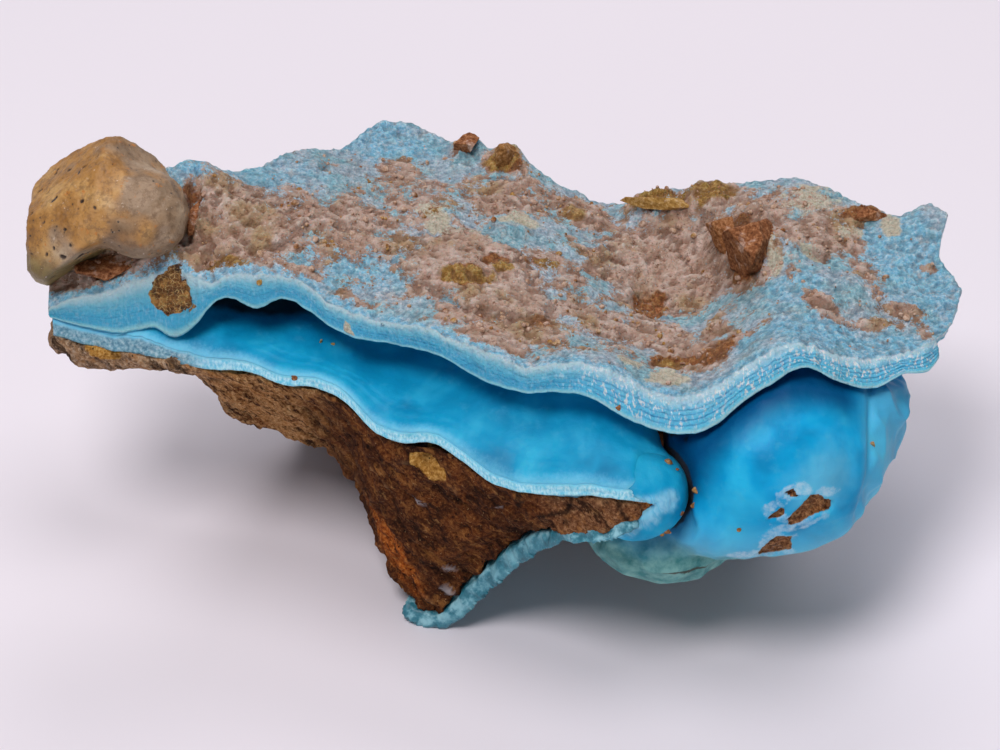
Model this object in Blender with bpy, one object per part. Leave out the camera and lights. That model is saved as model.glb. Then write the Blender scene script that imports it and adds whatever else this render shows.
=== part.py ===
"""Hemimorphite specimen: two blue crusts lining a cavity, brown matrix, a lobe and a corner stone.

Heights and plans are hand-placed control points in millimetres (x across, y away, z up).
Each sheet is a grid between its outlines; lobes and the stone are radial bodies.
"""
import bmesh
import bpy
import numpy as np
from mathutils import Vector

MM = 0.001
GAP = 0.30              # clearance between pieces that touch
FLOOR = -1.6            # level of the surface the specimen stands on
CRUST = 2.0             # thickness of the lower crust
COAT = 1.3              # thickness of the under crust
RESIDUE = 0.9           # height of the matrix patches on the roof
NOSE = (14.2, -22.2)    # plan centre of the lower crust's blunt right end
NOSE_R = 5.4

PLATE_COLS = 41
PLATE_ROWS = 13
LOWER_ROWS = 8
REAR_ROWS = 5

# Roof sheet: broken front rim (upper and lower edge), back edge and both ends.
PLATE_FRONT_TOP = (
    (-46.7, -2.0, 29.4), (-43.7, -2.0, 30.8), (-40.2, -1.7, 31.7), (-35.9, -1.0, 33.1),
    (-32.3, -1.3, 33.9), (-29.5, -3.1, 33.7), (-26.5, -2.8, 34.5), (-23.0, -3.0, 34.2),
    (-19.9, -3.3, 34.0), (-17.2, -5.2, 32.9), (-12.0, -7.5, 32.5), (-5.7, -10.6, 33.0),
    (-0.3, -13.3, 32.5), (3.7, -14.9, 32.2), (8.6, -15.0, 33.0), (12.4, -15.7, 31.9),
    (18.3, -16.9, 30.2), (22.4, -16.0, 31.1), (25.6, -14.8, 32.7), (29.1, -13.7, 34.0),
    (32.9, -13.2, 33.0), (36.1, -12.7, 31.6), (39.6, -11.7, 30.8), (43.1, -10.3, 30.8),
    (45.0, -8.6, 30.6),
)
PLATE_FRONT_LOW = (
    (-46.5, -2.7, 28.4), (-41.6, -4.4, 28.2), (-38.9, -4.9, 28.1), (-35.6, -4.8, 28.7),
    (-33.2, -5.6, 28.1), (-30.9, -5.5, 29.9), (-29.0, -4.6, 32.0), (-27.2, -4.4, 32.3),
    (-24.7, -5.2, 31.6), (-21.8, -4.4, 32.3), (-18.8, -5.9, 31.4), (-15.9, -7.7, 30.5),
    (-10.0, -9.9, 30.6), (-4.7, -12.8, 31.1), (-1.0, -15.0, 30.4), (3.0, -16.9, 30.1),
    (5.7, -17.4, 30.7), (9.5, -18.0, 30.4), (12.8, -19.2, 28.9), (16.4, -20.1, 27.9),
    (18.5, -20.3, 27.6), (22.0, -19.7, 28.3), (24.4, -18.4, 29.9), (27.9, -16.9, 31.6),
    (31.0, -15.6, 32.4), (33.9, -15.7, 30.9), (38.4, -14.9, 29.1), (41.3, -13.3, 29.6),
    (44.0, -12.2, 29.1), (45.3, -10.2, 29.1),
)
PLATE_BACK_TOP = (
    (-43.8, 8.2, 33.6), (-40.0, 9.4, 34.4), (-37.0, 9.2, 36.2), (-34.2, 9.0, 39.4),
    (-31.2, 10.5, 39.5), (-28.3, 12.2, 36.8),
    (-24.6, 15.8, 35.1), (-20.8, 20.6, 33.6), (-17.1, 24.4, 30.9), (-13.5, 29.6, 30.5),
    (-9.8, 30.6, 29.8), (-6.3, 29.1, 28.9), (-1.5, 26.4, 29.0), (3.3, 24.6, 28.7),
    (6.7, 22.7, 27.5), (11.4, 22.0, 25.4), (14.2, 21.4, 25.4), (17.9, 21.6, 27.0),
    (21.7, 20.2, 28.6), (26.8, 19.4, 29.5), (30.5, 18.6, 30.9), (34.2, 16.6, 32.2),
    (38.2, 12.3, 32.6), (42.0, 9.8, 32.5), (46.2, 10.8, 33.4),
)
PLATE_LEFT = ((-46.7, -2.0), (-46.8, 1.0), (-45.8, 5.0), (-43.8, 8.2))
PLATE_RIGHT = (
    (45.0, -8.6), (46.9, -6.0), (48.4, -1.7), (47.6, 1.0), (46.5, 3.2), (46.9, 5.4),
    (47.9, 8.4), (46.2, 10.8),
)
# Relief inside the roof: left shelf, middle fall, the hollow, the ridge and the right apron.
PLATE_TOP_INNER = (
    (-43.0, 3.0, 32.0), (-39.0, 6.0, 33.6), (-36.6, 2.0, 34.2), (-34.0, 4.5, 36.4),
    (-31.0, 6.0, 37.6), (-27.0, 2.5, 35.8), (-21.0, 7.5, 35.4), (-15.0, -3.0, 32.6),
    (-10.0, 2.0, 32.2), (-10.5, 13.0, 31.8), (0.5, -3.0, 31.2), (0.5, 9.0, 30.6),
    (6.5, -10.0, 31.2), (11.0, 0.0, 28.6), (11.0, 9.5, 27.6), (13.0, -8.0, 29.4),
    (18.6, -14.0, 29.4), (16.5, 4.0, 25.2), (17.8, 9.0, 25.0), (21.5, 2.0, 26.4),
    (22.0, 10.0, 26.6), (18.0, 17.0, 26.6), (20.0, -9.3, 28.8), (25.0, -8.0, 30.8),
    (26.6, 3.0, 29.6), (26.7, 11.5, 30.9), (28.8, 4.0, 32.4), (31.2, -5.5, 33.0),
    (34.5, -5.5, 32.8), (38.3, 4.2, 31.8), (37.5, 9.0, 32.4), (42.0, -3.5, 31.3),
    (42.7, 6.0, 32.4), (39.2, -9.0, 30.7),
)
# Raised lumps on top of the roof: x, y, radius, rise.
ROOF_LUMPS = (
    (26.0, 9.5, 4.2, 1.6), (16.5, 18.5, 3.6, 0.9), (-6.0, 13.0, 4.0, 0.7), (-2.8, 26.6, 2.6, 1.0),
    (1.3, 25.0, 2.6, 1.2), (37.0, -3.5, 4.0, 0.5),
)
# Domes on the roof's underside: x, y, radius, drop.
ROOF_DOMES = (
    (-24.0, 2.0, 6.0, 1.2), (-12.5, -2.0, 7.0, 1.4), (1.0, -9.0, 7.5, 2.6), (8.5, -9.5, 6.5, 1.9),
    (18.0, -13.0, 6.5, 1.4), (-3.0, 6.0, 8.0, 1.2), (12.0, 2.0, 7.0, 1.0), (38.0, -7.0, 6.5, 1.4),
)

# Lower body: the broken front edge of the glossy crust, and the lower edge of the brown wedge.
LOWER_FRONT = (
    (-46.4, -3.6, 26.8), (-41.4, -5.2, 26.4), (-36.5, -6.2, 26.2), (-30.1, -7.7, 25.6),
    (-25.5, -8.8, 26.1), (-21.8, -10.4, 25.7), (-18.5, -11.2, 26.0), (-15.1, -13.1, 25.3),
    (-12.7, -15.2, 23.8), (-9.6, -16.8, 23.4), (-6.5, -17.4, 23.9), (-3.3, -19.5, 23.2),
    (-0.8, -21.5, 22.4), (3.8, -23.5, 22.5), (9.5, -24.5, 23.1), (13.4, -25.2, 23.1),
    (14.6, -25.6, 22.9), (15.2, -27.0, 19.2), (16.8, -26.7, 19.8),
)
NOSE_TOP = ((15.2, -25.9, 23.9), (16.8, -26.0, 23.2))
NOSE_EDGE = (
    (16.8, -26.7), (18.7, -24.9), (19.5, -22.2), (18.9, -19.6), (16.9, -17.4), (15.9, -12.0),
    (15.0, -7.0),
)
WEDGE_LOW = (
    (-46.0, -3.2, 24.6), (-43.6, -4.6, 23.6), (-38.0, -5.2, 24.0), (-31.4, -5.4, 23.8),
    (-30.2, -2.2, 18.8), (-28.6, -0.6, 13.0), (-26.0, 1.0, 9.9), (-22.0, 0.4, 9.0),
    (-18.5, -1.4, 8.6), (-15.4, -4.4, 7.6), (-13.6, -9.8, 5.9), (-12.1, -13.3, 3.3),
    (-10.4, -15.4, 0.9), (-7.6, -17.4, 0.0), (-5.4, -18.2, 0.0), (-4.2, -17.6, 2.8),
    (-2.0, -17.9, 5.6),
    (0.3, -18.6, 9.8), (2.9, -20.2, 13.9), (4.6, -22.0, 16.6), (7.2, -25.0, 17.9),
    (9.5, -25.9, 19.0), (12.0, -26.4, 20.0), (14.4, -26.0, 21.6),
)
CAVITY_BACK = ((-46.4, 1.2), (-38.0, 3.8), (-28.0, 5.6), (-15.0, 5.8), (0.0, 3.5), (15.0, -7.0))
REAR_EDGE = (
    (-44.9, 4.6), (-40.5, 7.2), (-35.0, 7.8), (-29.0, 9.8), (-21.0, 15.5), (-12.0, 22.5),
    (2.0, 20.0), (15.6, 15.5),
)
TONGUE_INNER = (
    (-31.1, -4.6, 27.7), (-28.5, -1.8, 27.9), (-25.0, 0.1, 27.2), (-20.2, -1.0, 27.2),
    (-14.1, -3.2, 26.4), (-12.0, -6.5, 25.6), (-4.8, -9.7, 26.4), (0.4, -13.0, 26.8),
    (4.5, -16.0, 26.2), (8.0, -16.4, 26.8), (10.5, -15.4, 27.0), (13.1, -16.0, 26.4),
    (15.6, -17.0, 25.3), (-10.0, 2.0, 28.0), (0.0, -3.0, 28.4), (10.0, -8.0, 27.6),
    (-40.0, 0.0, 28.4), (-20.0, -7.0, 26.8), (-6.0, -14.0, 25.2), (4.0, -20.0, 24.6),
)
WEDGE_INNER = (
    (-8.0, -13.0, 0.4), (-8.5, -9.0, 2.4), (-9.0, -4.0, 4.4), (-8.0, 3.0, 6.0), (9.0, -20.0, 17.2),
    (12.5, -17.0, 17.4),
    (3.0, -15.0, 11.5), (9.0, -13.0, 14.0), (13.0, -9.0, 13.0), (0.0, -6.0, 7.5), (6.0, 2.0, 7.0),
    (-19.0, 5.0, 6.0), (-19.0, 10.5, 1.2), (-19.5, 14.5, -2.5), (-13.5, 16.0, -2.5), (-6.0, 12.0, 3.0),
    (-26.0, 9.0, 9.0), (-36.0, 3.0, 24.0), (-36.0, 7.4, 24.5), (-42.0, 1.0, 25.0), (-30.0, 8.0, 15.0),
    (-22.0, 17.0, 4.0), (-12.0, 23.0, 7.0), (2.0, 21.0, 8.0), (15.0, 16.0, 6.0), (14.0, 4.0, 6.0),
)

PATCHES = {
    "roof_matrix_left": (
        (-31.8, 5.8), (-30.8, 1.6), (-29.0, -0.6), (-25.4, -0.9), (-21.6, 0.4), (-19.6, 3.2),
        (-21.0, 6.0), (-24.6, 7.8), (-28.6, 8.2),
    ),
    "roof_matrix_middle": (
        (-11.0, 0.4), (-7.6, -3.2), (-3.2, -5.6), (1.2, -7.4), (5.2, -7.0), (7.0, -3.6),
        (4.6, 0.6), (3.4, 5.4), (-0.6, 9.4), (-5.4, 10.0), (-9.6, 6.0),
    ),
    "roof_matrix_right": (
        (10.6, 12.6), (10.6, 6.4), (13.0, 1.6), (17.4, -0.8), (21.4, 0.6), (22.8, 4.6),
        (21.6, 9.4), (20.8, 13.6), (18.0, 15.0), (13.8, 15.4),
    ),
}


def relief(points, smooth=0.02):
    """Thin-plate height field through control points."""
    table = np.array(points, float)
    spots = table[:, :2]
    count = len(table)
    lhs = np.zeros((count + 3, count + 3))
    lhs[:count, :count] = plate_kernel(spots[:, None] - spots[None]) + smooth * np.eye(count)
    lhs[:count, count] = 1.0
    lhs[:count, count + 1:] = spots
    lhs[count:, :count] = lhs[:count, count:].T
    weights = np.linalg.solve(lhs, np.append(table[:, 2], (0.0, 0.0, 0.0)))

    def height(x, y):
        where = np.stack([x, y], axis=-1)
        kernel = plate_kernel(where[..., None, :] - spots)
        flat = weights[count] + where @ weights[count + 1:]
        return kernel @ weights[:count] + flat

    return height


def plate_kernel(offset):
    square = (offset ** 2).sum(axis=-1)
    return square * np.log(np.maximum(square, 1e-9)) * 0.5


def domes(table, x, y):
    """Sum of rounded bosses."""
    total = np.zeros_like(x)
    for cx, cy, radius, rise in table:
        reach = ((x - cx) ** 2 + (y - cy) ** 2) / radius ** 2
        total += rise * np.clip(1.0 - reach, 0.0, None) ** 1.5
    return total


def soft_min(a, b, width):
    mix = np.clip(0.5 + 0.5 * (b - a) / width, 0.0, 1.0)
    return b + (a - b) * mix - width * mix * (1.0 - mix)


def by_x(table, x, column):
    points = np.array(table, float)
    return np.interp(x, points[:, 0], points[:, column])


def along(points, fractions):
    """Points at fractions of a polyline's length."""
    table = np.array(points, float)
    steps = np.linalg.norm(np.diff(table, axis=0), axis=1)
    where = np.append(0.0, np.cumsum(steps)) / steps.sum()
    return np.stack([np.interp(fractions, where, table[:, k]) for k in range(table.shape[1])], axis=-1)


def span(front, back, left, right, rows):
    """Plan grid between four edges; front and back already hold one point per column."""
    cols = len(front)
    s = np.linspace(0.0, 1.0, cols)[:, None, None]
    t = np.linspace(0.0, 1.0, rows)[None, :, None]
    sides = (1.0 - s) * left[None] + s * right[None]
    ends = (1.0 - t) * front[:, None] + t * back[:, None]
    corners = (1.0 - s) * (1.0 - t) * front[0] + s * (1.0 - t) * front[-1]
    corners = corners + (1.0 - s) * t * back[0] + s * t * back[-1]
    return sides + ends - corners


def lift(plan, height):
    return np.dstack([plan[..., 0], plan[..., 1], height])


def ring(grid):
    """Edge points of a grid, once round."""
    return np.concatenate([grid[:-1, 0], grid[-1, :-1], grid[:0:-1, -1], grid[0, :0:-1]])


def mesh_object(name, points, faces):
    mesh = bpy.data.meshes.new(name)
    mesh.from_pydata([tuple(p * MM) for p in points], [], faces)
    work = bmesh.new()
    work.from_mesh(mesh)
    bmesh.ops.remove_doubles(work, verts=work.verts, dist=1e-6)
    bmesh.ops.triangulate(work, faces=work.faces)
    bmesh.ops.recalc_face_normals(work, faces=work.faces)
    work.to_mesh(mesh)
    work.free()
    body = bpy.data.objects.new(name, mesh)
    bpy.context.collection.objects.link(body)
    return body


def slab(name, top, low, bands=()):
    """Closed sheet: two grids and a wall of bands, each (fraction down, push outwards)."""
    cols, rows = top.shape[:2]
    upper, lower = ring(top), ring(low)
    centre = upper[:, :2].mean(axis=0)
    away = upper[:, :2] - centre
    away = away / np.linalg.norm(away, axis=1)[:, None]
    end = np.clip((upper[:, 0].max() - 0.5 - upper[:, :1]) / 4.0, 0.0, 1.0)
    away = away * np.clip(0.2 - away[:, 1:], 0.0, 1.0) * end * (1.0 + 0.6 * np.sin(0.9 * upper[:, :1]))
    loops = [upper]
    for depth, push in bands:
        loop = upper + (lower - upper) * depth
        loop[:, :2] += away * push
        loops.append(loop)
    loops.append(lower)
    points = [top.reshape(-1, 3), low.reshape(-1, 3)] + loops
    faces = []
    for i in range(cols - 1):
        for j in range(rows - 1):
            a = i * rows + j
            faces.append((a, a + rows, a + rows + 1, a + 1))
            faces.append(tuple(cols * rows + k for k in (a, a + 1, a + rows + 1, a + rows)))
    base = 2 * cols * rows
    size = len(upper)
    for level in range(len(loops) - 1):
        for k in range(size):
            a = base + level * size + k
            b = base + level * size + (k + 1) % size
            faces.append((a, a + size, b + size, b))
    return mesh_object(name, np.concatenate(points), faces)


def radial(name, centre, level, inside, reach, squash=(1.0, 1.0, 1.0)):
    """Body whose surface is the last point inside along each ray from its centre."""
    work = bmesh.new()
    bmesh.ops.create_icosphere(work, subdivisions=level, radius=1.0)
    rays = np.array([v.co for v in work.verts]) * squash
    rays = rays / np.linalg.norm(rays, axis=1)[:, None]
    steps = np.linspace(0.0, reach, 401)
    field = inside(np.array(centre) + rays[:, None, :] * steps[None, :, None])
    first = np.argmax(field <= 0.0, axis=1)
    rows = np.arange(len(rays))
    before, after = field[rows, first - 1], field[rows, first]
    radius = steps[first - 1] + (steps[first] - steps[first - 1]) * before / (before - after)
    for vert, ray, r in zip(work.verts, rays, radius):
        vert.co = Vector((np.array(centre) + ray * r) * MM)
    mesh = bpy.data.meshes.new(name)
    bmesh.ops.recalc_face_normals(work, faces=work.faces)
    work.to_mesh(mesh)
    work.free()
    body = bpy.data.objects.new(name, mesh)
    bpy.context.collection.objects.link(body)
    return body


def egg(points, centre, radii):
    """Roughly signed distance inside an ellipsoid, millimetres."""
    scaled = (points - np.array(centre)) / np.array(radii)
    return (1.0 - np.linalg.norm(scaled, axis=-1)) * min(radii)


def merge(*fields, width=1.5):
    """Smooth union of inside fields."""
    total = fields[0]
    for field in fields[1:]:
        total = -soft_min(-total, -field, width)
    return total


def plate_heights():
    edge_back = [(x, y, z) for x, y, z in PLATE_BACK_TOP]
    ends = [(48.2, -1.7, 31.2), (46.6, 3.2, 32.2), (47.7, 8.4, 33.6), (-46.2, 3.0, 31.4)]
    top = relief(PLATE_FRONT_TOP + tuple(edge_back) + tuple(ends) + PLATE_TOP_INNER)
    low_points = list(PLATE_FRONT_LOW)
    low_points += [(x, y - 0.6, z - 2.8) for x, y, z in edge_back]
    low_points += [(x, y, z - 3.4) for x, y, z in PLATE_TOP_INNER if x > -33.0]
    low_points += [(-44.0, 3.0, 28.4), (-38.0, 5.0, 29.8), (-34.0, 3.0, 31.5), (-30.0, 5.0, 33.4)]
    low_points += [(47.4, -1.7, 28.6), (46.0, 3.2, 29.6), (47.0, 8.4, 31.0)]
    low = relief(low_points)

    def top_height(x, y):
        return top(x, y) + domes(ROOF_LUMPS, x, y)

    def low_height(x, y):
        return low(x, y) - domes(ROOF_DOMES, x, y)

    return top_height, low_height


def plate_plans():
    """Top and underside plans of the roof sheet."""
    share = np.linspace(0.0, 1.0, PLATE_COLS)
    rise = np.linspace(0.0, 1.0, PLATE_ROWS)
    plans = []
    for front, inset in ((PLATE_FRONT_TOP, 0.0), (PLATE_FRONT_LOW, 0.7)):
        x = front[0][0] + share * (front[-1][0] - front[0][0])
        near = np.stack([x, by_x(front, x, 1)], axis=-1)
        x = PLATE_BACK_TOP[0][0] + share * (PLATE_BACK_TOP[-1][0] - PLATE_BACK_TOP[0][0])
        far = np.stack([x, by_x(PLATE_BACK_TOP, x, 1) - inset], axis=-1)
        left = along(PLATE_LEFT, rise) + (0.4 * inset, 0.0)
        right = along(PLATE_RIGHT, rise) - (inset, 0.0)
        left[0], left[-1], right[0], right[-1] = near[0], far[0], near[-1], far[-1]
        plans.append(span(near, far, left, right, PLATE_ROWS))
    return plans


def build_plate(top_height, low_height):
    top_plan, low_plan = plate_plans()
    top = lift(top_plan, top_height(top_plan[..., 0], top_plan[..., 1]))
    low = lift(low_plan, low_height(low_plan[..., 0], low_plan[..., 1]))
    return slab("upper_crust", top, low, ((0.35, 0.35), (0.75, 0.3)))


def tongue_height(roof_low):
    edge = [(x, y + 0.9, z + 1.3) for x, y, z in LOWER_FRONT]
    nose = [(18.9, -21.0, 24.0), (18.6, -24.4, 23.0), (16.6, -26.6, 22.4), (17.4, -18.0, 24.2)]
    field = relief(edge + nose + list(TONGUE_INNER))

    def height(x, y):
        return np.minimum(field(x, y), roof_low(x, y) - GAP - 0.2)

    return height


def lower_columns():
    """Column positions along the wedge, closer where its edge turns."""
    return np.array([
        -46.2, -43.8, -41.4, -39.0, -36.6, -34.2, -32.2, -30.8, -29.4, -27.6, -25.4, -23.2, -21.0, -18.8,
        -16.8, -15.0, -13.2, -11.4, -9.6, -7.8, -6.0, -4.4, -2.6, -0.8, 1.2, 3.2, 5.2, 7.2, 9.2, 11.2,
        13.0, 14.6, 15.2, 16.8,
    ])


def lower_plans():
    """Plans of the glossy crust: its top, then its underside."""
    x = lower_columns()
    rise = np.linspace(0.0, 1.0, LOWER_ROWS)
    far = np.stack([CAVITY_BACK[0][0] + (x - x[0]) / (x[-1] - x[0]) * 61.4, np.zeros_like(x)], axis=-1)
    far[:, 1] = by_x(CAVITY_BACK, far[:, 0], 1)
    edge = [(a, b + 0.9, c) for a, b, c in LOWER_FRONT[:-2]] + list(NOSE_TOP)
    plans = []
    for front, inset in ((edge, 0.0), (LOWER_FRONT, 0.5)):
        near = np.stack([x, by_x(front, x, 1)], axis=-1)
        left = near[0] + rise[:, None] * (far[0] - near[0])
        right = along(NOSE_EDGE, rise) - (inset, 0.0)
        right[0], right[-1] = near[-1], far[-1]
        plans.append(span(near, far, left, right, LOWER_ROWS))
    return plans


def build_lower_crust(height):
    top_plan, low_plan = lower_plans()
    top = lift(top_plan, height(top_plan[..., 0], top_plan[..., 1]))
    low = lift(low_plan, height(low_plan[..., 0], low_plan[..., 1]) - CRUST)
    low[:, 0, 2] = by_x(LOWER_FRONT, low[:, 0, 0], 2)
    fade = np.clip((-13.0 - low[-2:, 1:, 1]) / 5.0, 0.0, 1.0)
    low[-2:, 1:, 2] -= 2.6 * fade
    return slab("lower_crust", top, low, ((0.5, 0.25),)), low


def wedge_grids(crust_low, roof_low):
    """Matrix top and underside, from the broken front to the rear edge."""
    seat = crust_low[:-2].copy()
    seat[..., 2] -= GAP
    seat[-1] -= (GAP + 0.05, 0.0, 0.3)
    x = lower_columns()[:-2]
    share = (x - x[0]) / (x[-1] - x[0])
    rear = along(REAR_EDGE, share)
    rear[:, 0] = REAR_EDGE[0][0] + share * (REAR_EDGE[-1][0] - REAR_EDGE[0][0])
    rear[:, 1] = by_x(REAR_EDGE, rear[:, 0], 1)
    start = seat[:, -1, :2] + (0.0, 1.1)
    steps = np.linspace(0.0, 1.0, REAR_ROWS)[None, :, None]
    back_plan = start[:, None] * (1.0 - steps) + rear[:, None] * steps
    ceiling = np.minimum(roof_low(back_plan[..., 0], back_plan[..., 1]) - GAP - 0.25, 34.0)
    back = lift(back_plan, ceiling)
    top = np.concatenate([seat, back], axis=1)
    near = np.stack([x, by_x(WEDGE_LOW, x, 1)], axis=-1)
    near[-1, 0] -= GAP + 0.05
    run = top[..., 1] - top[:, :1, 1]
    depth = (run / run[:, -1:])[..., None]
    plan = top[..., :2] + (near - top[:, 0, :2])[:, None] * (1.0 - depth)
    plan[..., 1:] -= 0.3 * depth
    underside = relief(WEDGE_LOW + WEDGE_INNER)
    z = underside(plan[..., 0], plan[..., 1])
    z[:, 0] = by_x(WEDGE_LOW, near[:, 0], 2)
    cover = top[..., 2].min(axis=1)[:, None] - 0.9
    low = lift(plan, np.clip(np.minimum(z, cover), FLOOR, None))
    return top, low, underside


def build_under_crust(low):
    """Thin coat below the wedge, from the foot to the nose."""
    patch = low[lower_columns()[:-2] > -11.0][:, :6]
    along_x = np.gradient(patch, axis=0)
    along_y = np.gradient(patch, axis=1)
    down = -np.cross(along_x, along_y)
    down = down / np.linalg.norm(down, axis=-1)[..., None]
    upper = patch + down * GAP
    lower = patch + down * (GAP + COAT)
    upper[..., 2] = np.clip(upper[..., 2], FLOOR + 0.5, None)
    lower[..., 2] = np.clip(lower[..., 2], FLOOR, None)
    lower[:, 0, 1] -= 1.0
    return slab("under_crust", upper, lower)


def build_rear(roof_low):
    def inside(points):
        x, y, z = points[..., 0], points[..., 1], points[..., 2]
        bulk = merge(
            egg(points, (19.0, 5.5, 10.0), (12.5, 8.5, 15.0)),
            egg(points, (23.0, 8.0, 2.0), (8.0, 6.5, 8.0)),
        )
        roof = roof_low(x, y) - 1.0 - z
        front = y + 4.5
        return np.minimum(np.minimum(bulk, roof), front)

    body = radial("rear_mass", (19.0, 5.5, 10.0), 3, inside, 24.0)
    floor_cut(body)
    return body


def floor_cut(body):
    for vert in body.data.vertices:
        vert.co.z = max(vert.co.z, FLOOR * MM)


def join_solid(body, other):
    """Exact union; the second object is used up."""
    cut = body.modifiers.new("join", "BOOLEAN")
    cut.operation = "UNION"
    cut.solver = "EXACT"
    cut.object = other
    depsgraph = bpy.context.evaluated_depsgraph_get()
    joined = bpy.data.meshes.new_from_object(body.evaluated_get(depsgraph))
    body.modifiers.clear()
    body.data = joined
    bpy.data.objects.remove(other)
    work = bmesh.new()
    work.from_mesh(joined)
    bmesh.ops.triangulate(work, faces=work.faces)
    bmesh.ops.dissolve_degenerate(work, edges=work.edges, dist=1e-5)
    bmesh.ops.triangulate(work, faces=work.faces)
    work.to_mesh(joined)
    work.free()
    return body


def nose_clear(points):
    """Positive away from the blunt end of the lower crust."""
    plan = np.linalg.norm(points[..., :2] - np.array(NOSE), axis=-1)
    neck = np.maximum(points[..., 0] - 17.4, -18.0 - points[..., 1])
    beside = np.minimum(plan - NOSE_R - GAP - 0.1, neck)
    below = 18.2 - points[..., 2]
    return np.maximum(beside, below)


def lobe_inside(roof_low, underside):
    def inside(points):
        x, y, z = points[..., 0], points[..., 1], points[..., 2]
        bulk = merge(
            egg(points, (28.5, -13.0, 21.5), (12.0, 13.5, 9.6)),
            egg(points, (37.0, -10.8, 23.0), (5.8, 7.2, 6.2)),
            egg(points, (22.5, -19.5, 17.5), (6.5, 6.5, 5.0)),
            width=1.2,
        )
        roof = roof_low(x, y) - GAP - 0.4 - z
        wedge = np.maximum(x - 16.2, underside(x, y) - 2.5 - z)
        rear = -egg(points, (19.0, 5.5, 10.0), (13.2, 9.2, 15.7))
        limits = np.minimum(np.minimum(roof, nose_clear(points)), np.minimum(wedge, rear))
        return np.minimum(bulk, limits)

    return inside


def teal_inside(roof_low, underside):
    limit = lobe_inside(roof_low, underside)

    def inside(points):
        x, y, z = points[..., 0], points[..., 1], points[..., 2]
        bulk = egg(points, (17.2, -17.8, 12.6), (8.0, 6.6, 4.8))
        wedge = np.maximum(x - 16.2, underside(x, y) - 2.5 - z)
        rear = -egg(points, (19.0, 5.5, 10.0), (13.2, 9.2, 15.7))
        return np.minimum(np.minimum(bulk, nose_clear(points)), np.minimum(wedge, rear))

    return inside


def build_lobe(roof_low, underside):
    body = radial(
        "right_lobe", (29.0, -12.0, 22.0), 4, lobe_inside(roof_low, underside), 20.0, (1.1, 1.2, 0.9)
    )
    teal = radial("teal_lobe", (18.0, -17.4, 12.6), 3, teal_inside(roof_low, underside), 12.0)
    return join_solid(body, teal)


STONE = (-41.0, 4.2, 36.2)
STONE_FACETS = (
    ((-1.0, -0.05, 0.05), 7.8), ((-0.62, 0.1, 0.78), 6.2), ((0.1, 0.2, 0.97), 7.0),
    ((0.62, 0.1, 0.78), 6.2), ((-0.5, -0.75, 0.42), 7.0), ((0.25, -0.86, 0.44), 6.6),
    ((0.95, -0.2, 0.2), 7.6), ((0.1, 1.0, 0.1), 7.0), ((-0.86, 0.1, -0.5), 8.4),
)


def build_stone(top_height):
    def inside(points):
        field = egg(points, STONE, (9.8, 9.8, 9.8))
        for normal, depth in STONE_FACETS:
            unit = np.array(normal) / np.linalg.norm(normal)
            field = soft_min(field, depth - (points - np.array(STONE)) @ unit, 0.8)
        field = merge(field, egg(points, (-35.6, 1.2, 38.0), (4.4, 4.8, 4.4)), width=0.8)
        seat = points[..., 2] - top_height(points[..., 0], points[..., 1]) - GAP - 0.05
        return np.minimum(field, seat)

    return radial("corner_stone", STONE, 3, inside, 14.0)


def build_patch(name, outline, top_height):
    """Shallow raised patch on the roof: rings from its rim to its middle."""
    rim = np.array(outline, float)
    closed = np.concatenate([rim, rim[:1]])
    rim = along(closed, np.linspace(0.0, 1.0, 23))[:-1]
    centre = rim.mean(axis=0)
    count = len(rim)
    upper, lower = [], []
    for share, rise in ((1.0, 0.35), (0.82, 0.85), (0.5, 1.0), (0.2, 0.9)):
        plan = centre + (rim - centre) * share
        base = top_height(plan[:, 0], plan[:, 1]) + GAP
        grain = 1.0 + 0.25 * np.sin(1.7 * plan[:, 0]) * np.cos(1.3 * plan[:, 1])
        upper.append(np.column_stack([plan, base + RESIDUE * rise * grain]))
        lower.append(np.column_stack([plan, base]))
    loops = upper[::-1] + lower
    points = np.concatenate(loops)
    faces = []
    for level in range(len(loops) - 1):
        for k in range(count):
            a = level * count + k
            b = level * count + (k + 1) % count
            faces.append((a, a + count, b + count, b))
    faces.append(tuple(range(count)))
    last = (len(loops) - 1) * count
    faces.append(tuple(range(last + count - 1, last - 1, -1)))
    return mesh_object(name, points, faces)


def paint(body, colour, roughness):
    material = bpy.data.materials.new(body.name)
    material.use_nodes = True
    shader = material.node_tree.nodes["Principled BSDF"]
    shader.inputs["Base Color"].default_value = colour + (1.0,)
    shader.inputs["Roughness"].default_value = roughness
    shader.inputs["Metallic"].default_value = 0.0
    body.data.materials.clear()
    body.data.materials.append(material)


def settle(bodies):
    """Put the bottom centre of the whole at the origin."""
    spots = np.concatenate([np.array([v.co for v in body.data.vertices]) for body in bodies])
    low, high = spots.min(axis=0), spots.max(axis=0)
    shift = Vector((-(low[0] + high[0]) / 2, -(low[1] + high[1]) / 2, -low[2]))
    for body in bodies:
        for vert in body.data.vertices:
            vert.co += shift
    print("shift_mm", [round(float(c) / MM, 4) for c in shift])
    print("size_mm", [round(float(c) / MM, 3) for c in high - low])


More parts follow.
